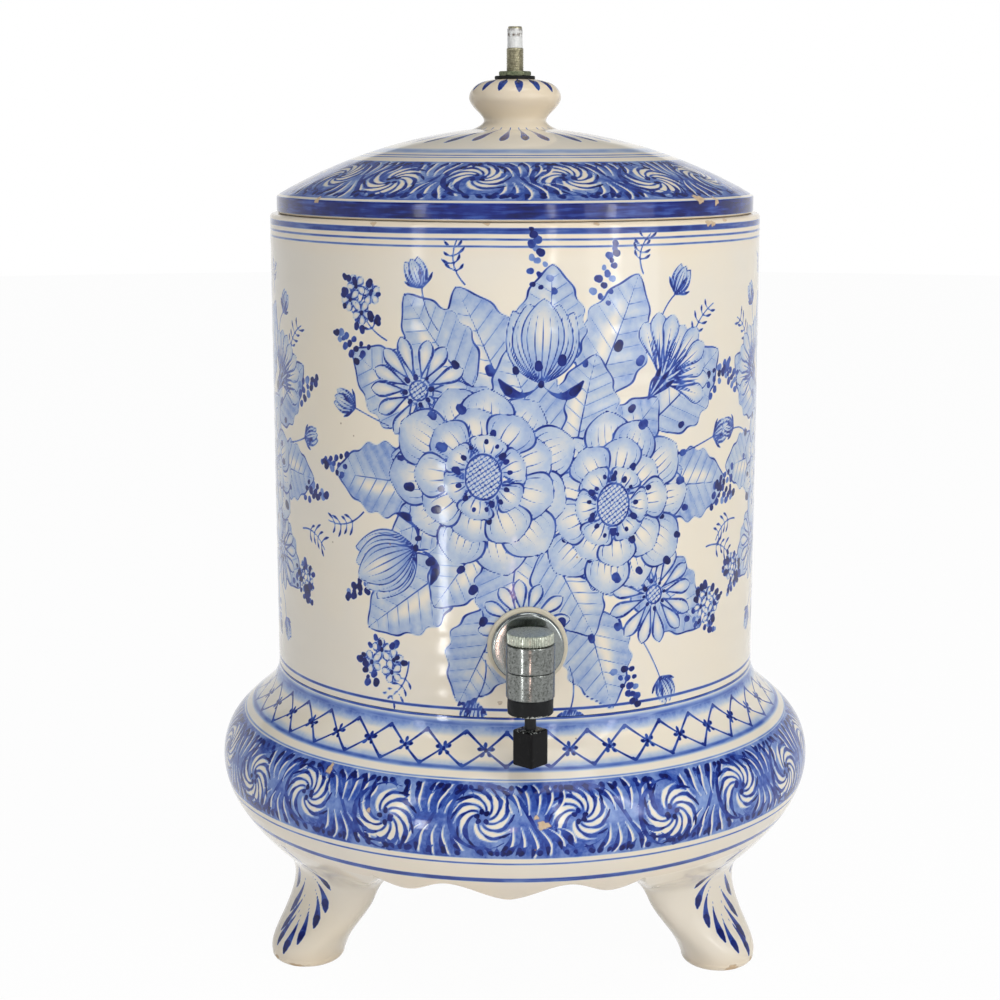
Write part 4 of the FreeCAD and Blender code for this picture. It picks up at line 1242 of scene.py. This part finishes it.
def make_leg(name, node, turn, seed):
    """One leg. Across it the angle a runs once round an oval: the radius is the oval's middle plus
    its depth times cos a, and the place along the arc its width times sin a. Where the outer face
    would fall inside the belly's line carried on downwards, it is drawn out to that line."""
    local = np.random.default_rng(seed)
    a = np.linspace(-math.pi, math.pi, LEG_COLUMNS, endpoint=False)[None, :]
    z = leg_z[:, None]
    r = leg_centre[:, None] + leg_depth[:, None] * np.cos(a)
    side = leg_width[:, None] * np.sin(a) / leg_centre[:, None]
    below = LIP_R - (LIP_Z - z) * math.cos(LIP_SLOPE) / math.sin(LIP_SLOPE)
    line = np.where(z > LIP_Z, radius_at(outer_line, z), below)
    share = eased(np.clip((z - 50.0) / 20.0, 0.0, 1.0))
    facing = eased(np.clip(np.cos(a) / 0.22, 0.0, 1.0))
    bury = np.clip((z - 76.0) / 8.0, 0.0, 1.0) * 2.2
    r = r + share * facing * np.maximum(line + 0.12 - bury - r, 0.0)
    points = on_pot(r, z, side + turn)
    ring = np.arange(LEG_COLUMNS)
    ends = (ring[::-1], (LEG_ROWS - 1) * LEG_COLUMNS + ring)
    leg = place_mesh(name, points.reshape(-1, 3), quads_of(LEG_ROWS, LEG_COLUMNS, False, True), ends, 50.0)
    lay_out(leg, LEG_ROWS, LEG_COLUMNS, False, True, np.linspace(0.0, 0.98, LEG_ROWS))
    step = np.hypot(np.diff(r, axis=1), np.diff(side, axis=1) * r[:, 1:])
    u = np.concatenate([np.zeros((LEG_ROWS, 1)), np.cumsum(step, 1)], 1)
    u = u - u[:, LEG_COLUMNS // 2:LEG_COLUMNS // 2 + 1]
    front = r[:, LEG_COLUMNS // 2]
    fallen = run_along(np.stack([leg_z, front], 1))
    v = np.broadcast_to(fallen[:, None], u.shape)
    mid, dark = np.zeros(u.shape), np.zeros(u.shape)
    toward_tap = -math.copysign(1.0, math.sin(turn)) if abs(math.sin(turn)) > 0.2 else 1.0
    for way in (-1.0, 1.0):
        for top, gap, slant, reach, thick in FEATHERS:
            height = top + 1.5 * local.random() - (2.5 if way > 0 else 0.0)
            lean = way * math.radians(slant + 6.0 * (local.random() - 0.5))
            stem = toward_tap * np.interp(height, (5.0, 25.0, 45.0, 65.0, 88.0), (0.0, 5.0, 7.5, 5.0, 0.0))
            root = np.array([stem + way * gap, np.interp(height, leg_z, fallen)])
            path = bow(root, root + reach * np.array([math.sin(lean), -math.cos(lean)]), way * 1.3)
            half = swell(len(path), thick * (0.9 + 0.2 * local.random()), 0.76)
            mid = np.maximum(mid, level(mark_depth(u, v, path, half)))
            dark = np.maximum(dark, level(mark_depth(u, v, path[-3:], half[-3:] * 0.9)))
    worn = [(-14.0, 2.0, 3.6, 1.8, seed), (16.0, 1.2, 3.4, 1.3, seed + 2.0), (2.0, 3.2, 1.6, 1.3, seed + 1.0)]
    bare = np.maximum(chips(u, z + 0.0 * u, worn), level(0.35 - z + 0.0 * u))
    warm = np.clip((16.0 - z) / 30.0, 0.05, 0.45) + 0.0 * u
    hold(leg, mid=mid, dark=dark, bare=bare, warm=warm, outside=(np.cos(a) > 0.1) + 0.0 * u)
    return dress(leg, leg_glaze, "pot", (node,))


for number, node in enumerate(("leg_front_right", "leg_rear", "leg_front_left")):
    make_leg(node.replace("leg", "foot"), node, math.radians(LEG_TURN + 60.0 + 120.0 * number), 3 + number)


# Lid: the painted band and the crown with its knob, which meet on a painted line

bend_r, bend_z = 0.62 * LID_R, DOME_LOW + 0.64 * (DOME_TOP - DOME_LOW)
dome = arc_through((LID_R, DOME_LOW), (bend_r, bend_z), (KNOB[0][0], DOME_TOP), 1400)
under = arc_through((COLLAR_IN_R, 427.8), (bend_r, bend_z - 9.0), (0.0, CROWN_UNDER), 600)
dome_run = run_along(dome)


def along_dome(runs):
    """Points on the dome at each distance run inwards from its rim."""
    return np.stack([np.interp(runs, dome_run, dome[:, 0]), np.interp(runs, dome_run, dome[:, 1])], 1)


def under_height(r):
    """The height of the lid's inside at each radius."""
    return np.interp(r, under[::-1, 0], under[::-1, 1])


seam_run = float(np.interp(-CROWN_R, -dome[:, 0], dome_run))
band_runs = np.arange(2.2, seam_run, 0.72)
edge = np.linspace(0.0, 0.5 * math.pi, 5)
rim_rows = np.stack([LID_R - 1.3 + 1.3 * np.cos(edge), DOME_LOW - 1.3 + 1.3 * np.sin(edge) + 0.35], 1)
band_rows = np.concatenate([
    [(COLLAR_R, LID_LOW), (LID_R - 1.4, LID_LOW), (LID_R - 0.4, LID_LOW + 0.4), (LID_R, LID_LOW + 1.4)],
    rows_between((LID_R, LID_LOW + 2.2), rim_rows[0], 8), rim_rows, along_dome(band_runs), along_dome([seam_run])])
under_r = np.linspace(CROWN_R, COLLAR_IN_R, 12)
closing = np.concatenate([
    np.stack([under_r, under_height(under_r)], 1),
    rows_between((COLLAR_IN_R, 426.0), (COLLAR_IN_R, COLLAR_LOW + 1.0), 6),
    [(COLLAR_IN_R + 1.0, COLLAR_LOW), (COLLAR_R - 1.0, COLLAR_LOW), (COLLAR_R, COLLAR_LOW + 1.0)],
    rows_between((COLLAR_R, COLLAR_LOW + 3.0), (COLLAR_R, LID_LOW - 0.6), 4)])
band_profile = np.concatenate([band_rows, closing])
BAND_COLUMNS = 900
band_around = once_round(BAND_COLUMNS)
lip_wave = 0.1 * np.sin(2 * band_around + 1.0) - 0.1
band_r = band_profile[:, :1] + lip_wave * (band_profile[:, :1] > 130.0)
band_points = on_pot(band_r, band_profile[:, 1:], band_around)
first_band = 4 + 8 + len(rim_rows)
band_quads = quads_of(len(band_profile), BAND_COLUMNS, True, True)
lid_band = place_mesh("lid_band", band_points.reshape(-1, 3), band_quads, sharp=50.0)
lid_paint = Glaze(TURN * 112.0, BAND_COLUMNS, band_runs)
running_scroll(lid_paint, 2.6, 46.5, 15, rng)
rows_band, last_band = len(band_profile), first_band + len(band_runs) + 1
band_outside = np.zeros((rows_band, BAND_COLUMNS), np.float32)
band_outside[2:last_band] = 1.0
band_u = around_u(BAND_COLUMNS, TURN * LID_R)[None, :]
band_bare_and_shade = chips(band_u, band_profile[:, 1:] + 0.0 * band_u, BAND_CHIPS)
# The lid's lowest edge: bare tan clay in patches, and dark brown between them that is painted shade of the gap over
# the pot's rim.
bare_edge_and_gap_shade = np.clip((425.9 - band_profile[:, 1:]) / 0.5, 0.0, 1.0) * (band_profile[:, :1] > 131.0)
band_bare_and_shade = np.maximum(band_bare_and_shade, 0.5 * bare_edge_and_gap_shade * (1.0 + 0.3 * np.sin(band_around * 23.0)) + 0.0 * band_u)
band_bare_and_shade[last_band:] = 0.62
hold(lid_band, bare=band_bare_and_shade, outside=band_outside, warm=0.25 + 0.0 * band_bare_and_shade,
     **lid_paint.on_rows(rows_band, first_band))
band_share = np.concatenate([np.linspace(0.0, 0.9, last_band), np.linspace(0.905, 0.985, rows_band - last_band)])
lay_out(lid_band, rows_band, BAND_COLUMNS, True, True, band_share)
dress(lid_band, lid_glaze, "lid_group", ("lid",))

CROWN_COLUMNS = 360
dense_run = seam_run + 20.0
crown_runs = np.concatenate([
    np.linspace(seam_run, dense_run, 8, endpoint=False), np.arange(dense_run, dome_run[-1], 0.8)])
knob_line = curve_through(KNOB, 84)[1:]
top_r = np.linspace(KNOB[-1][0], HOLE_R, 6)[1:]
crown_top = np.concatenate([along_dome(crown_runs), knob_line])
crown_run = run_along(crown_top)
hole_rows = rows_between((HOLE_R, KNOB[-1][1] - 0.8), (HOLE_R, CROWN_UNDER + 0.6), 8)
under_rows = np.linspace(HOLE_R, CROWN_R, 16)
crown_profile = np.concatenate([
    crown_top, np.stack([top_r, np.full(5, KNOB[-1][1])], 1), hole_rows,
    np.stack([under_rows, under_height(under_rows)], 1)])
crown_points = on_pot(crown_profile[:, :1], crown_profile[:, 1:], once_round(CROWN_COLUMNS))
crown_quads = quads_of(len(crown_profile), CROWN_COLUMNS, True, True)
lid_crown = place_mesh("lid_crown", crown_points.reshape(-1, 3), crown_quads, sharp=50.0)
crown = Glaze(TURN * 30.0, CROWN_COLUMNS, crown_run)
root_run = crown_run[len(crown_runs) - 1]
NECK_STROKES, SHOULDER_STROKES = 28, 14
for k in range(NECK_STROKES):
    t = (k + 0.3 * rng.random()) / NECK_STROKES
    side = abs(math.sin(TURN * t))
    x = t * crown.length
    reach = 33.0 + 8.0 * side ** 2 + 5.0 * rng.random()
    lean = 2.4 * math.sin(2.0 * TURN * t) + 1.0 * (rng.random() - 0.5)
    drop(crown, (x, root_run + 2.6), (x + lean, root_run - reach), 1.5, 0.8 * (rng.random() - 0.2), peak=0.8)
for k in range(SHOULDER_STROKES):
    x = (k + 0.15 * rng.random()) * crown.length / SHOULDER_STROKES
    low = crown_run[-1] - 13.5 - 1.2 * rng.random()
    root = (x, crown_run[-1] + 0.2)
    brush(crown, "mid", bow(root, (x + 1.5 * (rng.random() - 0.5), low), 0.5), swell(9, 3.6, 0.5, 0.1))
    brush(crown, "dark", bow(root, (x, low + 5.5), 0.4), swell(9, 2.0, 0.5, 0.2))
rows_crown = len(crown_profile)
crown_bare = np.zeros((rows_crown, CROWN_COLUMNS), np.float32)
crown_bare[len(crown_top) + 4:] = 0.6
crown_outside = np.zeros_like(crown_bare)
crown_outside[:len(crown_top)] = 1.0
crown_warm = np.clip((crown_profile[:, 1:] - 470.0) / 30.0, 0.05, 0.6) + 0.0 * crown_bare
hold(lid_crown, bare=crown_bare, outside=crown_outside, warm=crown_warm, **crown.on_rows(rows_crown, 0))
lay_out(lid_crown, rows_crown, CROWN_COLUMNS, True, True, np.linspace(0.0, 0.985, rows_crown))
dress(lid_crown, lid_glaze, "lid_group", ("lid",))


# Inlet: a threaded pipe through the knob, with its washer, nut and tape

def hexagon(flats):
    """The change of radius that makes a six-sided outline of the given width between flats, its
    corners cut back by a cone at both ends."""
    def change(r, h, angle):
        side = (angle + math.radians(30.0)) % math.radians(60.0) - math.radians(30.0)
        far = 0.5 * flats / np.cos(side)
        ends = np.minimum(h - h.min(), h.max() - h)
        return np.where(r > 0.4 * flats, np.minimum(far, 0.53 * flats + 1.6 * ends) - r, 0.0)
    return change


def upright(r, heights):
    """Points of an outline at one radius, at the given heights."""
    return np.stack([np.full(len(heights), r), heights], 1)


def pipe_thread(low, high, pitch, depth):
    """The change of radius of a cut thread: a triangle wave along the pipe that moves one pitch in
    one turn, and fades out at both ends."""
    def change(r, h, angle):
        wave = np.abs(((h / pitch - angle / TURN) % 1.0) * 2.0 - 1.0)
        fade = np.clip((h - low) / pitch, 0.0, 1.0) * np.clip((high - h) / pitch, 0.0, 1.0)
        return -depth * (1.0 - np.clip(1.25 * wave, 0.0, 1.0)) * fade * (r > 4.4)
    return change


thread_z = np.arange(498.6, 516.5, 0.11)
pipe = np.concatenate([
    [(3.3, 442.6), (4.5, 442.6), (4.75, 443.0), (4.75, 498.4)], upright(4.85, thread_z),
    [(4.7, 516.7), (4.1, 516.95), (3.95, 517.2), (3.95, 528.3), (3.8, 528.75), (3.55, 528.9), (3.3, 528.75)]])
nipple = turned("nipple", pipe, 96, sharp=70.0, wave=pipe_thread(498.6, 516.6, 0.91, 0.3))
dress(nipple, dull_brass, "lid_group", ("inlet_nipple",))

tape_z = np.arange(517.1, 527.5, 0.3)
tape_line = np.concatenate([
    [(4.0, 516.95), (4.28, 517.0)], upright(4.33, tape_z), [(4.2, 527.7), (4.0, 527.65)]])
tape = turned("tape", tape_line, 72, wave=lambda r, h, a: 0.05 * np.sin(5.2 * h + a) * (r > 4.3))
dress(tape, tape_white, "lid_group", ("inlet_seal_tape",))

nut_line = softened([(4.85, 501.5), (9.2, 501.5), (9.2, 504.1), (4.85, 504.1)], 0.35, 3)
inlet_nut = turned("inlet_nut", nut_line, 180, sharp=32.0, wave=hexagon(16.0))
dress(inlet_nut, green_brass, "lid_group", ("inlet_top_nut",))

washer_line = softened([(4.85, 499.5), (11.5, 499.5), (11.5, 501.5), (4.85, 501.5)], 0.7, 4)
washer = turned("inlet_washer", washer_line, 96, wave=lambda r, h, a: 0.12 * np.sin(3 * a + 1.0) * (r > 9.0))
dress(washer, black_rubber, "lid_group", ("inlet_top_washer",))


# Tap: a rose on a rubber ring, a shank and an upright barrel, cap, sleeve and outlet

ROSE_BACK, ROSE_FRONT = -WALL_R - 2.4, -WALL_R - 5.6
gasket_around = once_round(144)
gasket_r = np.array([7.9, 20.2, 20.9, 21.2, 21.3, 21.3, 21.1, 7.9])[:, None]
gasket_x = gasket_r * np.sin(gasket_around)
gasket_wall = -np.sqrt(WALL_R ** 2 - gasket_x ** 2) + 0.05
gasket_y = np.array([0.0, 0.0, 0.15, 0.5, 0.9, 0.0, 0.0, 0.0])[:, None] + ROSE_BACK + 0.0 * gasket_x
gasket_y[5:] = gasket_wall[5:]
gasket_y[5] -= 0.4
gasket_points = np.stack([gasket_x, gasket_y, TAP_Z + gasket_r * np.cos(gasket_around)], -1)
gasket = place_mesh("rose_gasket", gasket_points.reshape(-1, 3), quads_of(8, 144, True, True))
dress(gasket, cream_rubber, "pot", ("tap_outer_gasket",))

edge = np.linspace(0.0, 0.5 * math.pi, 7)
rose_rim = np.stack([19.2 - 1.9 + 1.9 * np.sin(edge), ROSE_FRONT + 1.9 - 1.9 * np.cos(edge)], 1)
rose_line = np.concatenate([
    [(7.9, ROSE_FRONT), (10.5, ROSE_FRONT), (14.0, ROSE_FRONT + 0.02)], rose_rim,
    [(19.2, ROSE_BACK - 0.4), (18.9, ROSE_BACK), (7.9, ROSE_BACK)]])
rose = turned("rose", rose_line, 144, sharp=50.0, along_y=True)
dress(rose, mirror_chrome, "pot", ("tap_flange",))

barrel_line = softened([
    (12.75, 198.4), (12.75, 212.4), (9.55, 212.4), (9.55, 207.5), (7.6, 207.5), (7.6, 192.0), (4.6, 192.0),
    (4.6, 189.5), (8.4, 189.5), (8.4, 186.4), (10.6, 186.4), (10.6, 198.4)], 0.55, 3)
barrel = turned("barrel", barrel_line, 144, y=TAP_Y, sharp=50.0)
shank_h = np.arange(-130.0, -113.6, 0.2)
arm_line = np.concatenate([
    [(3.2, -158.0), (5.2, -158.0), (5.2, -157.0), (5.2, -150.0), (5.5, -149.0), (6.4, -148.3), (8.5, -148.1),
     (8.85, -147.9), (9.0, -147.5), (9.0, -145.65), (7.9, -145.6), (7.9, -131.0)],
    upright(7.9, shank_h), [(7.5, -113.0), (3.2, -113.0)]])
arm = turned("arm", arm_line, 96, sharp=50.0, along_y=True, wave=pipe_thread(-130.0, -113.6, 1.34, 0.4))
tap_body = joined("tap_shell", [barrel, arm])
dress(tap_body, chrome, "pot", ("tap_body",))


def flutes(r, h, angle):
    """Forty shallow round grooves down the cap's side."""
    off = ((angle * 40.0 / TURN + 0.5) % 1.0 - 0.5) * TURN * 12.1 / 40.0
    return np.where(r > 11.6, -np.sqrt(np.clip(0.55 ** 2 - off ** 2, 0.0, 1.0)), 0.0)


cap_line = [
    (1.5, 207.8), (9.3, 207.8), (9.5, 208.0), (9.5, 209.1), (8.2, 209.1), (8.2, 210.4), (9.5, 210.4),
    (9.5, 212.7), (11.7, 212.7), (12.0, 212.8), (12.1, 213.1), (12.1, 214.5), (12.1, 216.0), (12.1, 217.6),
    (11.95, 218.05), (11.65, 218.3), (11.2, 218.4), (6.0, 218.4), (1.5, 218.4),
]
cap = turned("cap", cap_line, 480, y=TAP_Y, sharp=50.0, wave=flutes, ends=True)
dress(cap, satin_chrome, "cap_group", ("tap_cap",))

sleeve_line = softened([
    (12.65, 184.2), (12.65, 198.35), (10.6, 198.35), (10.6, 186.4), (8.4, 186.4), (8.4, 184.2)], 0.8, 5)
sleeve = turned("sleeve", sleeve_line, 144, y=TAP_Y, sharp=50.0)
dress(sleeve, chrome, "pot", ("tap_sleeve",))


def slab(name, length, width, low, high, turn):
    """A straight rib from the tap's axis outwards."""
    c, s = math.sin(turn), -math.cos(turn)
    corners = [(3.1, -0.5), (3.1, 0.5), (length, 0.5), (length, -0.5)]
    points = [(r * c - w * width * s, TAP_Y + r * s + w * width * c, z) for z in (low, high) for r, w in corners]
    faces = [(0, 1, 5, 4), (1, 2, 6, 5), (2, 3, 7, 6), (3, 0, 4, 7), (3, 2, 1, 0), (4, 5, 6, 7)]
    return place_mesh(name, points, faces)


ring_z = np.linspace(176.4, 183.6, 14)
ring_line = np.concatenate([
    [(7.2, 175.6), (7.4, 175.4), (11.1, 175.4), (11.6, 175.6), (11.85, 175.95)], upright(11.9, ring_z),
    [(11.6, 184.15), (8.4, 184.2), (8.4, 186.3), (7.2, 186.35), (7.2, 183.0)]])
outlet = turned("outlet", ring_line, 144, y=TAP_Y, sharp=60.0,
                wave=lambda r, h, a: 0.06 * np.sin(9 * a + h) * (r > 11.0))
hub = turned("hub", [(3.06, 179.8), (4.6, 179.8), (4.6, 182.8), (3.06, 182.8)], 48, y=TAP_Y)
ribs = [slab(f"rib_{k}", 7.5, 1.6, 179.8, 182.8, TURN * k / 3.0) for k in range(3)]
outlet = joined("outlet_ring", [outlet, hub] + ribs)
co = np.empty(len(outlet.data.vertices) * 3, np.float32)
outlet.data.vertices.foreach_get("co", co)
co = co.reshape(-1, 3) / MM
ring_angle = np.arctan2(co[:, 0], TAP_Y - co[:, 1])
hold(outlet, scale=np.clip((178.2 - co[:, 2]) / 3.0, 0.0, 1.0) * (0.62 + 0.3 * np.sin(2.0 * ring_angle + 1.2)))
dress(outlet, rough_plastic, "pot", ("outlet_nozzle",))


def rounded_square(r, h, angle):
    """The change of radius that makes a square with rounded corners, one corner forward."""
    c, s = np.abs(np.cos(angle - math.radians(45.0))), np.abs(np.sin(angle - math.radians(45.0)))
    return r / (c ** 16 + s ** 16) ** (1.0 / 16.0) - r


block_z = np.linspace(148.6, 165.8, 12)
block_line = np.concatenate([
    [(4.0, 147.6), (5.8, 147.6), (6.2, 147.75), (6.5, 148.1)], upright(6.6, block_z),
    [(6.5, 166.3), (6.2, 166.65), (5.8, 166.8), (4.0, 166.8)]])
BLOCK_COLUMNS = 128
block = turned("push_block", block_line, BLOCK_COLUMNS, y=TAP_Y, sharp=38.0, wave=rounded_square, ends=True)
hold(block, scale=np.repeat(np.clip((block_line[:, 1] - 164.5) / 4.0, 0.0, 0.46), BLOCK_COLUMNS))
dress(block, black_plastic, "push_valve", ("push_knob",))


def coil(name, radius, wire, turns, low, high):
    """A wire wound round the tap's axis: its middle goes round while it climbs evenly from low to
    high, and its section is a circle of the wire's radius in the plane across the wire."""
    corners = 12
    climb = np.linspace(0.0, 1.0, int(32 * turns) + 1)[:, None]
    a = TURN * turns * climb
    middle = np.concatenate([radius * np.cos(a), TAP_Y + radius * np.sin(a), low + (high - low) * climb], 1)
    out = np.concatenate([np.cos(a), np.sin(a), 0.0 * a], 1)
    round_it = radius * TURN * turns
    ahead = np.concatenate([-round_it * np.sin(a), round_it * np.cos(a), high - low + 0.0 * a], 1)
    ahead /= np.linalg.norm(ahead, axis=1)[:, None]
    section = once_round(corners)[None, :, None]
    across = np.cross(ahead, out)[:, None]
    points = middle[:, None] + wire * (np.cos(section) * out[:, None] + np.sin(section) * across)
    ring = np.arange(corners)
    ends = (ring[::-1], (len(climb) - 1) * corners + ring)
    return place_mesh(name, points.reshape(-1, 3), quads_of(len(climb), corners, False, True), ends)


spring_low, spring_high = (corner[2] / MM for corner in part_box("valve_spring"))
return_spring = coil("return_spring", 3.4, 0.44, 4.5, spring_low + 0.45, spring_high - 0.45)
dress(return_spring, spring_steel, "pot", ("valve_spring",))
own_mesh(return_spring)

# Solids that the scene shows as they are
SHOWN_SOLIDS = {
    "tap_inner_gasket": black_rubber, "tap_inner_nut": dull_brass, "tap_cap_seal": black_rubber,
    "valve_stem": dark_stem, "valve_disc": black_rubber, "inlet_under_washer": black_rubber,
    "inlet_under_nut": green_brass,
}
for node, material in SHOWN_SOLIDS.items():
    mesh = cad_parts[node].data
    mesh.materials.clear()
    mesh.materials.append(material)


# Floor, lamps and camera

def white_paint(name, colour, share):
    """Pale matt paint that the camera, metal and glass see washed out towards white by the given
    share, and that otherwise takes light and shadow as paint does."""
    material, w, shader = new_material(name)
    shader.inputs["Base Color"].default_value = (*colour, 1.0)
    shader.inputs["Roughness"].default_value = 0.7
    shader.inputs["Specular IOR Level"].default_value = 0.2
    path = w.node("ShaderNodeLightPath")
    mirrored = w.math("MAXIMUM", path.outputs["Is Glossy Ray"], path.outputs["Is Transmission Ray"])
    looked_at = w.math("MAXIMUM", path.outputs["Is Camera Ray"], mirrored)
    white = w.node("ShaderNodeEmission", {"Color": (1.0, 1.0, 1.0, 1.0), "Strength": 1.0})
    both = w.node("ShaderNodeMixShader")
    w.feed(both.inputs[0], w.math("MULTIPLY", looked_at, share))
    material.node_tree.links.new(shader.outputs[0], both.inputs[1])
    material.node_tree.links.new(white.outputs[0], both.inputs[2])
    material.node_tree.links.new(both.outputs[0], material.node_tree.nodes["Material Output"].inputs["Surface"])
    return material


# A wide floor, and a round backdrop that stands on it
FAR, BACKDROP_R, BACKDROP_HIGH = 6000.0, 5600.0, 2000.0
floor = place_mesh("floor", [(-FAR, -FAR, 0), (FAR, -FAR, 0), (FAR, FAR, 0), (-FAR, FAR, 0)], [(0, 1, 2, 3)])
floor.data.materials.append(white_paint("floor_paint", (0.92, 0.92, 0.92), 0.97))
sides = 96
sheet = on_pot(np.full((2, sides), BACKDROP_R), np.array([[0.0], [BACKDROP_HIGH]]), once_round(sides)[None, :])
backdrop = place_mesh("backdrop", sheet.reshape(-1, 3), quads_of(2, sides, False, True))
backdrop.data.materials.append(white_paint("backdrop_paint", (0.4, 0.4, 0.4), 1.0))


def lamp(name, azimuth, distance, low, high, width, power, colour=(1.0, 1.0, 1.0)):
    """An upright soft panel at an angle round the pot from the tap's side, facing the pot."""
    data = bpy.data.lights.new(name, "AREA")
    data.shape, data.size, data.size_y = "RECTANGLE", width, high - low
    data.energy, data.color = power, colour
    obj = bpy.data.objects.new(name, data)
    a = math.radians(azimuth)
    obj.location = (distance * math.sin(a), -distance * math.cos(a), 0.5 * (low + high))
    obj.rotation_euler = (math.radians(90.0), 0.0, a)
    bpy.context.scene.collection.objects.link(obj)
    return obj


lamp("strip_left", -45.0, 1.5, 0.28, 1.5, 0.14, 3.2)
lamp("strip_middle", 13.5, 1.9, 0.26, 1.7, 0.1, 3.6)
lamp("strip_right", 41.0, 1.6, 0.26, 1.6, 0.1, 3.6)
lamp("soft_right", 46.0, 2.4, 0.05, 2.2, 1.5, 21.0, (1.0, 0.985, 0.955))
lamp("low_left", -33.0, 0.78, 0.02, 0.17, 0.05, 0.42)
lamp("low_warm", -3.5, 0.8, 0.02, 0.11, 0.028, 0.11, (1.0, 0.62, 0.52))
top = lamp("overhead", 14.0, 0.9, 2.2, 3.2, 1.6, 16.0, (1.0, 0.99, 0.965))
top.rotation_euler = (math.radians(25.0), 0.0, math.radians(14.0))

world = bpy.data.worlds.new("room")
bpy.context.scene.world = world
world.use_nodes = True
world.node_tree.nodes["Background"].inputs["Color"].default_value = (0.94, 0.965, 1.0, 1.0)
world.node_tree.nodes["Background"].inputs["Strength"].default_value = 0.28

camera = bpy.data.cameras.new("camera")
camera.lens, camera.sensor_width, camera.shift_x = 73.15, 36.0, -0.015
camera_object = bpy.data.objects.new("camera", camera)
camera_object.location = (-0.0556, -1.1787, 0.4735)
camera_object.rotation_euler = (math.radians(79.57), 0.0, math.radians(-2.7))
bpy.context.scene.collection.objects.link(camera_object)
bpy.context.scene.camera = camera_object
bpy.context.scene.view_settings.view_transform = "Standard"
